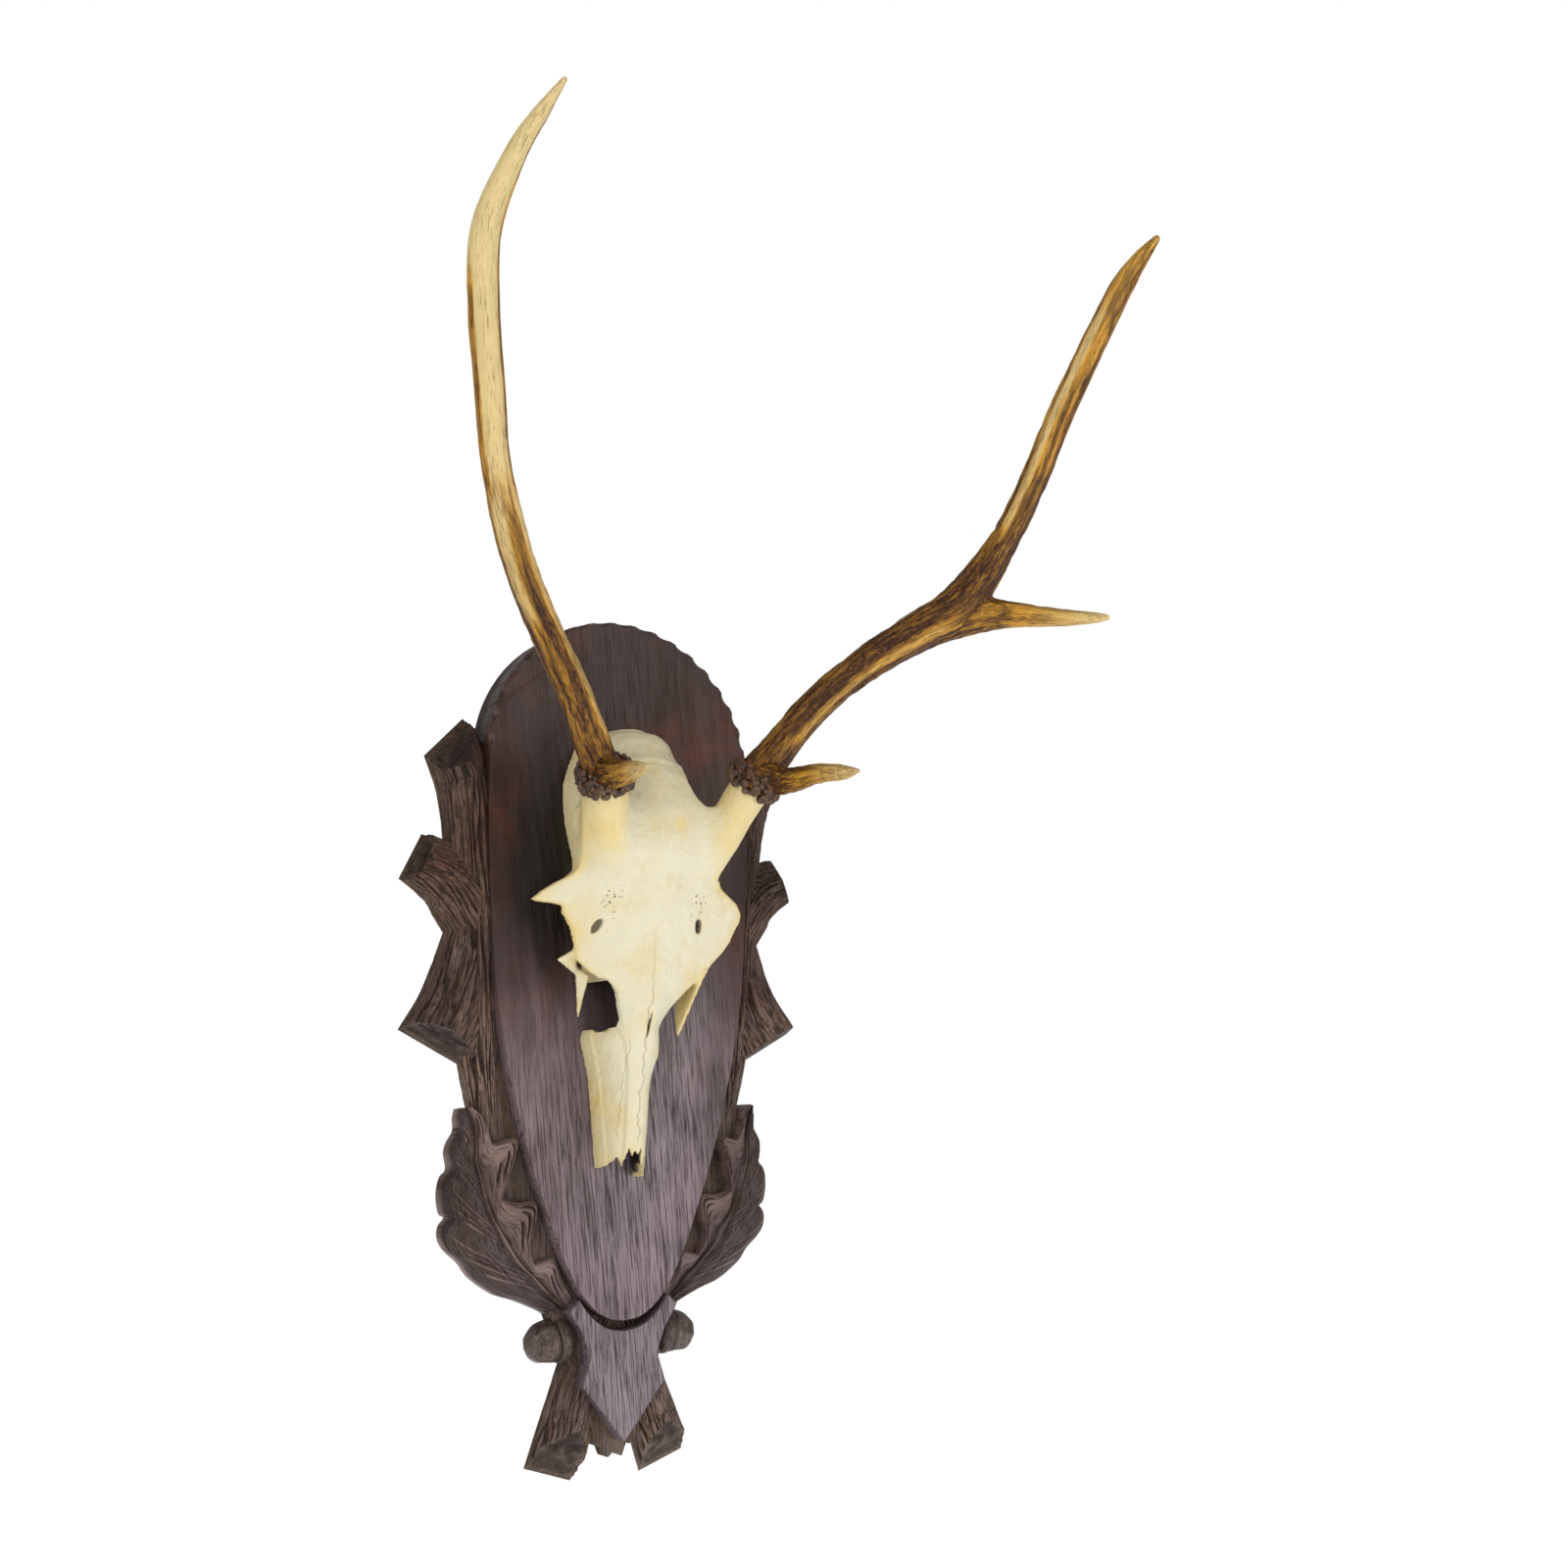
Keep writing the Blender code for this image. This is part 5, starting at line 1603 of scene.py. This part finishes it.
@dataclass
class Antler:
    """One antler: beam, tines and burr.

    Args:
        name: Name of the piece and of its CAD node.
        root: The pedicle's root: across from the skull's midline, off the panel, up.
        seat: The burr's seat, in the same way.
        limbs: Beam first, then tines: across, forward, up and radius from the burr's seat.
        light: How pale the beam is at shares of its length.
        tine_light: The same for the tines.
        stripes: Golden ridges.
        shades: Brown stripes along the paler length.
        streaky: How strongly brown streaks show on the pale length.
        seed: Which furrows and pearls.
        voxel: Grain of the joined skin.
        spacing: Spacing of the points along the limbs.
    """

    name: str
    root: tuple
    seat: tuple
    limbs: tuple
    light: Rows
    tine_light: Rows
    stripes: tuple = ()
    shades: tuple = ()
    streaky: float = 0.5
    seed: int = 1
    voxel: float = 0.85
    spacing: float = 1.5

    def lines(self) -> list[np.ndarray]:
        """Centre lines of the beam and tines, as x, y, z and radius in the frame."""
        start = self.origin()
        made = []
        for rows in self.limbs:
            fine = even(smoothed(rows, 12), self.spacing, 3)
            made.append(np.column_stack([start[0] + fine[:, 0], start[1] - fine[:, 1],
                                         start[2] + fine[:, 2], fine[:, 3]]))
        return made

    def axis(self) -> np.ndarray:
        """Direction from the pedicle's root to its seat, in the frame."""
        way = (np.array(self.seat) - np.array(self.root)) * (1, -1, 1)
        return way / np.linalg.norm(way)

    def origin(self) -> np.ndarray:
        """Place of the burr's seat in the frame."""
        seat = np.array([self.seat[0] + MIDLINE, -BOARD - self.seat[1], self.seat[2]])
        return seat + self.axis() * NODE_GAP

    def tube(self, line: np.ndarray, shell: Shell, sides: int = 28) -> None:
        """Add one closed tube to a shell."""
        ways = np.gradient(line[:, :3], axis=0)
        ways /= np.linalg.norm(ways, axis=1)[:, None]
        front, side = self.frame(ways)
        turns = np.linspace(0, 2 * math.pi, sides, endpoint=False)
        ring = (front[:, None] * np.cos(turns)[None, :, None] + side[:, None] * np.sin(turns)[None, :, None])
        grid = line[:, None, :3] + ring * line[:, None, 3:4]
        shell.add(grid, tube_faces(len(line), sides))

    def frame(self, ways: np.ndarray) -> tuple[np.ndarray, np.ndarray]:
        """Front and side directions across some axis directions."""
        front = np.array([0.0, -1.0, 0.0]) - ways * -ways[:, 1:2]
        thin = np.linalg.norm(front, axis=1)[:, None]
        spare = np.array([0.0, 0.0, 1.0]) - ways * ways[:, 2:3]
        front = np.where(thin > 0.25, front, spare)
        front /= np.linalg.norm(front, axis=1)[:, None]
        return front, np.cross(ways, front)

    def body(self) -> bpy.types.Object:
        """Join the limbs in one skin."""
        shell = Shell()
        lines = self.lines()
        way = self.axis()
        start = self.origin()
        burr = [(*(start + way * rise), wide) for rise, wide in
                ((0.0, 12.6), (1.2, 13.6), (4.0, 14.0), (7.0, 13.2), (10.0, 11.6))]
        self.tube(np.array(burr), shell, 40)
        for line in lines:
            above = (line[:, :3] - start) @ way > 3.0
            self.tube(line[above], shell)
        item = shell.piece(self.name + "_body", 180)
        skin = item.modifiers.new("skin", "REMESH")
        skin.mode = "VOXEL"
        skin.voxel_size = self.voxel * MM
        skin.adaptivity = 0.0
        soft = item.modifiers.new("soft", "SMOOTH")
        soft.factor = 0.6
        soft.iterations = 8
        item = baked(item)
        return outward(item, 180)

    def build(self) -> None:
        """Make, furrow and dress the antler."""
        item = self.body()
        item.name = self.name + "_horn"
        points = vertices(item)
        best = np.full(len(points), 1e9)
        run = np.zeros(len(points))
        share = np.zeros(len(points))
        limb = np.zeros(len(points), int)
        around = np.zeros((len(points), 2))
        lit = np.zeros(len(points))
        dull = np.zeros(len(points))
        start = self.origin()
        for number, line in enumerate(self.lines()):
            ways = np.gradient(line[:, :3], axis=0)
            ways /= np.linalg.norm(ways, axis=1)[:, None]
            front, side = self.frame(ways)
            lengths = np.arange(len(line)) * self.spacing
            for low in range(0, len(points), BATCH):
                part = slice(low, low + BATCH)
                gap = np.linalg.norm(points[part, None] - line[None, :, :3], axis=-1)
                near = np.argmin(gap - line[None, :, 3] * 0.5, axis=1)
                rank = np.arange(len(near))
                off = gap[rank, near] - line[near, 3]
                better = off < best[part]
                out = points[part] - line[near, :3]
                spin = np.column_stack([(out * front[near]).sum(1), (out * side[near]).sum(1)])
                best[part] = np.where(better, off, best[part])
                run[part] = np.where(better, lengths[near] + number * LIMB_RUN, run[part])
                share[part] = np.where(better, near / len(line), share[part])
                limb[part] = np.where(better, number, limb[part])
                around[part] = np.where(better[:, None], spin, around[part])
                if number == 0:
                    facing = out / np.maximum(np.linalg.norm(out, axis=1), 1e-6)[:, None]
                    for kept, stripes in ((lit, self.stripes), (dull, self.shades)):
                        shown = [stripe.strength(facing, ways[near], near / len(line)) for stripe in stripes]
                        kept[part] = np.maximum.reduce([np.zeros(len(near))] + shown)
                else:
                    lit[part] = np.where(better, 0.0, lit[part])
                    dull[part] = np.where(better, 0.0, dull[part])
        tables = [np.array(self.light, float)] + [np.array(self.tine_light, float)] * (len(self.limbs) - 1)
        light = np.zeros(len(points))
        for number, table in enumerate(tables):
            light = np.where(limb == number, np.interp(share, table[:, 0], table[:, 1]), light)
        wrap = np.column_stack([around, run])
        at = wrap / (3.0, 3.0, 30.0)
        deep = np.clip(1 - np.abs(noise(at, self.seed)) / 0.3, 0, 1)
        knob = noise(wrap / (2.2, 2.2, 4.0), self.seed + 3)
        rough = np.interp(light, [0.0, 0.45, 0.8, 1.0], [1.0, 0.8, 0.35, 0.2])
        floor = (points - start) @ self.axis()
        hold = ramp(floor, 0.8, 3.0)
        shift = (-0.75 * deep + 0.35 * np.clip(knob, -0.2, 1)) * rough * hold
        lift = lit * 0.5
        points = points + normals(item) * (shift + lift * hold)[:, None]
        points = points + self.axis() * np.clip(0.02 - (points - start) @ self.axis(), 0, None)[:, None]
        set_points(item, points)
        set_value(item, "wrap", wrap)
        set_value(item, "furrow", deep)
        rooty = ramp(floor, 16, 9) * ramp(np.linalg.norm(points - start, axis=1), 24, 17)
        light = light + 0.62 * lit * (1 - light) - 0.5 * rooty
        light = light * (1 - 0.5 * dull)
        set_value(item, "light", np.clip(light, 0, 1))
        set_value(item, "streaky", np.full(len(points), self.streaky))
        dress(item, AntlerFinish(), "antler", self.name)
        pearls = BurrPearls(seed=self.seed)
        burr = pearls.set_round(self.name.replace("antler", "burr"), start - self.axis() * 1.8, self.axis())
        dress(burr, BurrFinish(), "antler")


RIGHT_ANTLER = Antler(
    "antler_right", *RIGHT_PEDICLE,
    (((0, 0, 0, 12), (5, 4, 9, 11), (12, 8, 19, 10), (29, 19, 43, 9.2), (48, 39, 64, 9.5),
      (71, 57, 81, 11), (90, 70, 95, 12), (107, 89, 128, 8.3), (114, 107, 157, 7.6),
      (116, 127, 186, 7.2), (121, 146, 215, 6.9), (127, 166, 245, 6.4), (134, 175, 261, 4.6),
      (142, 183, 274, 1.9)),
     ((4, 8, 4, 9), (10, 22, 1, 7), (14, 45, 1, 5.2), (18, 62, -1, 4.0), (20, 73, -2, 1.0)),
     ((80, 61, 86, 11), (100, 74, 91, 10), (117, 86, 90.5, 7), (136, 100, 88, 5),
      (150, 112, 87, 3.2), (157, 116, 87, 1.6))),
    ((0, 0.0), (0.1, 0.12), (0.45, 0.1), (0.55, 0.22), (0.66, 0.42), (0.8, 0.46), (1, 0.6)),
    ((0, 0.05), (0.35, 0.3), (0.6, 0.6), (1, 0.85)),
    (Stripe((0.1, -0.9, -0.3), 0.06, 0.42, 0.965), Stripe((-0.85, -0.5, 0.1), 0.5, 0.9, 0.94)),
    (Stripe((0.5, -0.8, -0.2), 0.55, 1.1, 0.9),),
    0.9, 11)

LEFT_ANTLER = Antler(
    "antler_left", *LEFT_PEDICLE,
    (((0, 0, 0, 12), (-4, 3, 7, 11), (-9, 5, 15, 9.5), (-25, 14, 41, 8.3), (-46, 31, 60, 8.1),
      (-67, 50, 78, 7.6), (-85, 69, 97, 7.4), (-99, 84, 123, 6.9), (-110, 101, 151, 7.0),
      (-121, 119, 178, 7.1), (-128, 137, 205, 6.7), (-123, 155, 232, 4.9), (-116, 165, 248, 3.6),
      (-109, 174, 262, 1.4)),
     ((-2, 8, 4, 9), (-6, 22, 0, 7.5), (-10, 45, -3, 5.5), (-13, 60, -5, 3.5), (-15, 73, -6, 1.0))),
    ((0, 0.0), (0.12, 0.2), (0.3, 0.2), (0.42, 0.45), (0.52, 0.85), (0.8, 0.95), (1, 0.9)),
    ((0, 0.05), (0.4, 0.3), (0.65, 0.65), (1, 0.9)),
    (Stripe((0.8, -0.6, 0.1), 0.03, 0.5, 0.86), Stripe((-0.75, -0.65, 0.1), 0.25, 0.5, 0.9)),
    (Stripe((0.95, -0.1, -0.2), 0.45, 1.1, 0.8), Stripe((-0.95, -0.25, 0.1), 0.45, 0.78, 0.92)),
    0.7, 23)


# Studio

@dataclass
class Studio:
    """Floor, soft lights and the camera.

    Args:
        eye: Place of the camera, in metres.
        yaw: Its turn to the right, in degrees.
        pitch: Its turn upwards.
        roll: Its turn about the line of sight.
        lens: Its focal length.
        floor_level: Height of the floor, in metres.
    """

    eye: tuple = (-0.4517, -0.871, -0.2003)
    yaw: float = 33.36
    pitch: float = 11.05
    roll: float = -1.15
    lens: float = 40.5
    floor_level: float = -0.95

    def floor(self) -> None:
        """Lay the floor."""
        reach = 14000.0
        corners = np.array([(-reach, -reach, 0), (reach, -reach, 0), (reach, reach, 0), (-reach, reach, 0)])
        shell = Shell()
        slab = np.vstack([corners, corners - (0, 0, 20)]) + (0, 0, self.floor_level / MM)
        walls = [(k, k + 4, (k + 1) % 4 + 4, (k + 1) % 4) for k in range(4)]
        shell.add(slab, [(0, 1, 2, 3), (7, 6, 5, 4)] + walls)
        item = shell.piece("floor", 30)
        item.data.materials.append(FloorFinish().material())

    def light(self, name: str, place: tuple, aim: tuple, size: float, power: float,
              colour: tuple = (1.0, 1.0, 1.0)) -> None:
        """Hang one square soft light.

        Args:
            name: The light's name.
            place: Where it hangs.
            aim: Where it points.
            size: Length of its side.
            power: Its power in watts.
            colour: Its colour.
        """
        lamp = bpy.data.lights.new(name, "AREA")
        lamp.size = size
        lamp.energy = power
        lamp.color = colour
        item = bpy.data.objects.new(name, lamp)
        bpy.context.scene.collection.objects.link(item)
        item.location = place
        item.rotation_euler = (Vector(aim) - Vector(place)).to_track_quat("-Z", "Y").to_euler()

    def world(self) -> None:
        """Make a white surround that lights less than it shows."""
        world = bpy.data.worlds.new("studio")
        world.use_nodes = True
        bpy.context.scene.world = world
        tree = world.node_tree
        tree.nodes.clear()
        kit = NodeKit(tree)
        seen = kit.wire("ShaderNodeLightPath", "Is Camera Ray")
        strength = kit.step(seen, 0.0, 1.0, 0.36, 1.0)
        back = kit.wire("ShaderNodeBackground", 0, None, {"Color": (1, 1, 1, 1), "Strength": strength})
        kit.node("ShaderNodeOutputWorld", None, {"Surface": back})

    def camera(self) -> None:
        """Set the camera where the photograph was taken."""
        yaw, pitch, roll = (math.radians(a) for a in (self.yaw, self.pitch, self.roll))
        ahead = Vector((math.sin(yaw) * math.cos(pitch), math.cos(yaw) * math.cos(pitch), math.sin(pitch)))
        level = Vector((math.cos(yaw), -math.sin(yaw), 0.0))
        above = level.cross(ahead)
        right = level * math.cos(roll) + above * math.sin(roll)
        up = above * math.cos(roll) - level * math.sin(roll)
        data = bpy.data.cameras.new("camera")
        data.lens = self.lens
        data.sensor_width = 36.0
        data.clip_start = 0.05
        data.clip_end = 60.0
        item = bpy.data.objects.new("camera", data)
        bpy.context.scene.collection.objects.link(item)
        turned = Matrix((right, up, -ahead)).transposed().to_4x4()
        item.matrix_world = Matrix.Translation(Vector(self.eye)) @ turned
        bpy.context.scene.camera = item

    def build(self) -> None:
        """Set up the studio."""
        self.floor()
        self.world()
        self.light("key", (0.95, -1.5, 0.85), (0.0, -0.03, -0.05), 1.1, 6.0, (1.0, 0.97, 0.92))
        self.light("sheen", (0.95, -1.5, -0.5), (0.0, -0.03, -0.15), 0.8, 10.0, (0.97, 0.96, 1.0))
        self.light("fill", (-1.5, -1.3, 0.5), (0.0, 0.0, -0.1), 1.4, 22.0, (1.0, 0.98, 0.94))
        self.camera()
        bpy.context.scene.view_settings.view_transform = "Standard"


def corners(bounds: tuple[Vector, Vector]) -> list[list[float]]:
    """Write a box as plain lists."""
    return [[round(value, 5) for value in corner] for corner in bounds]


def main() -> None:
    """Build the trophy and its studio in order."""
    logging.basicConfig(level=logging.INFO, format="%(name)s %(message)s")
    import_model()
    Studio().build()
    for maker in (Plaque(), Skull(), LEFT_ANTLER, RIGHT_ANTLER):
        LOG.info("making %s", getattr(maker, "name", type(maker).__name__))
        maker.build()


if __name__ == "__main__":
    main()
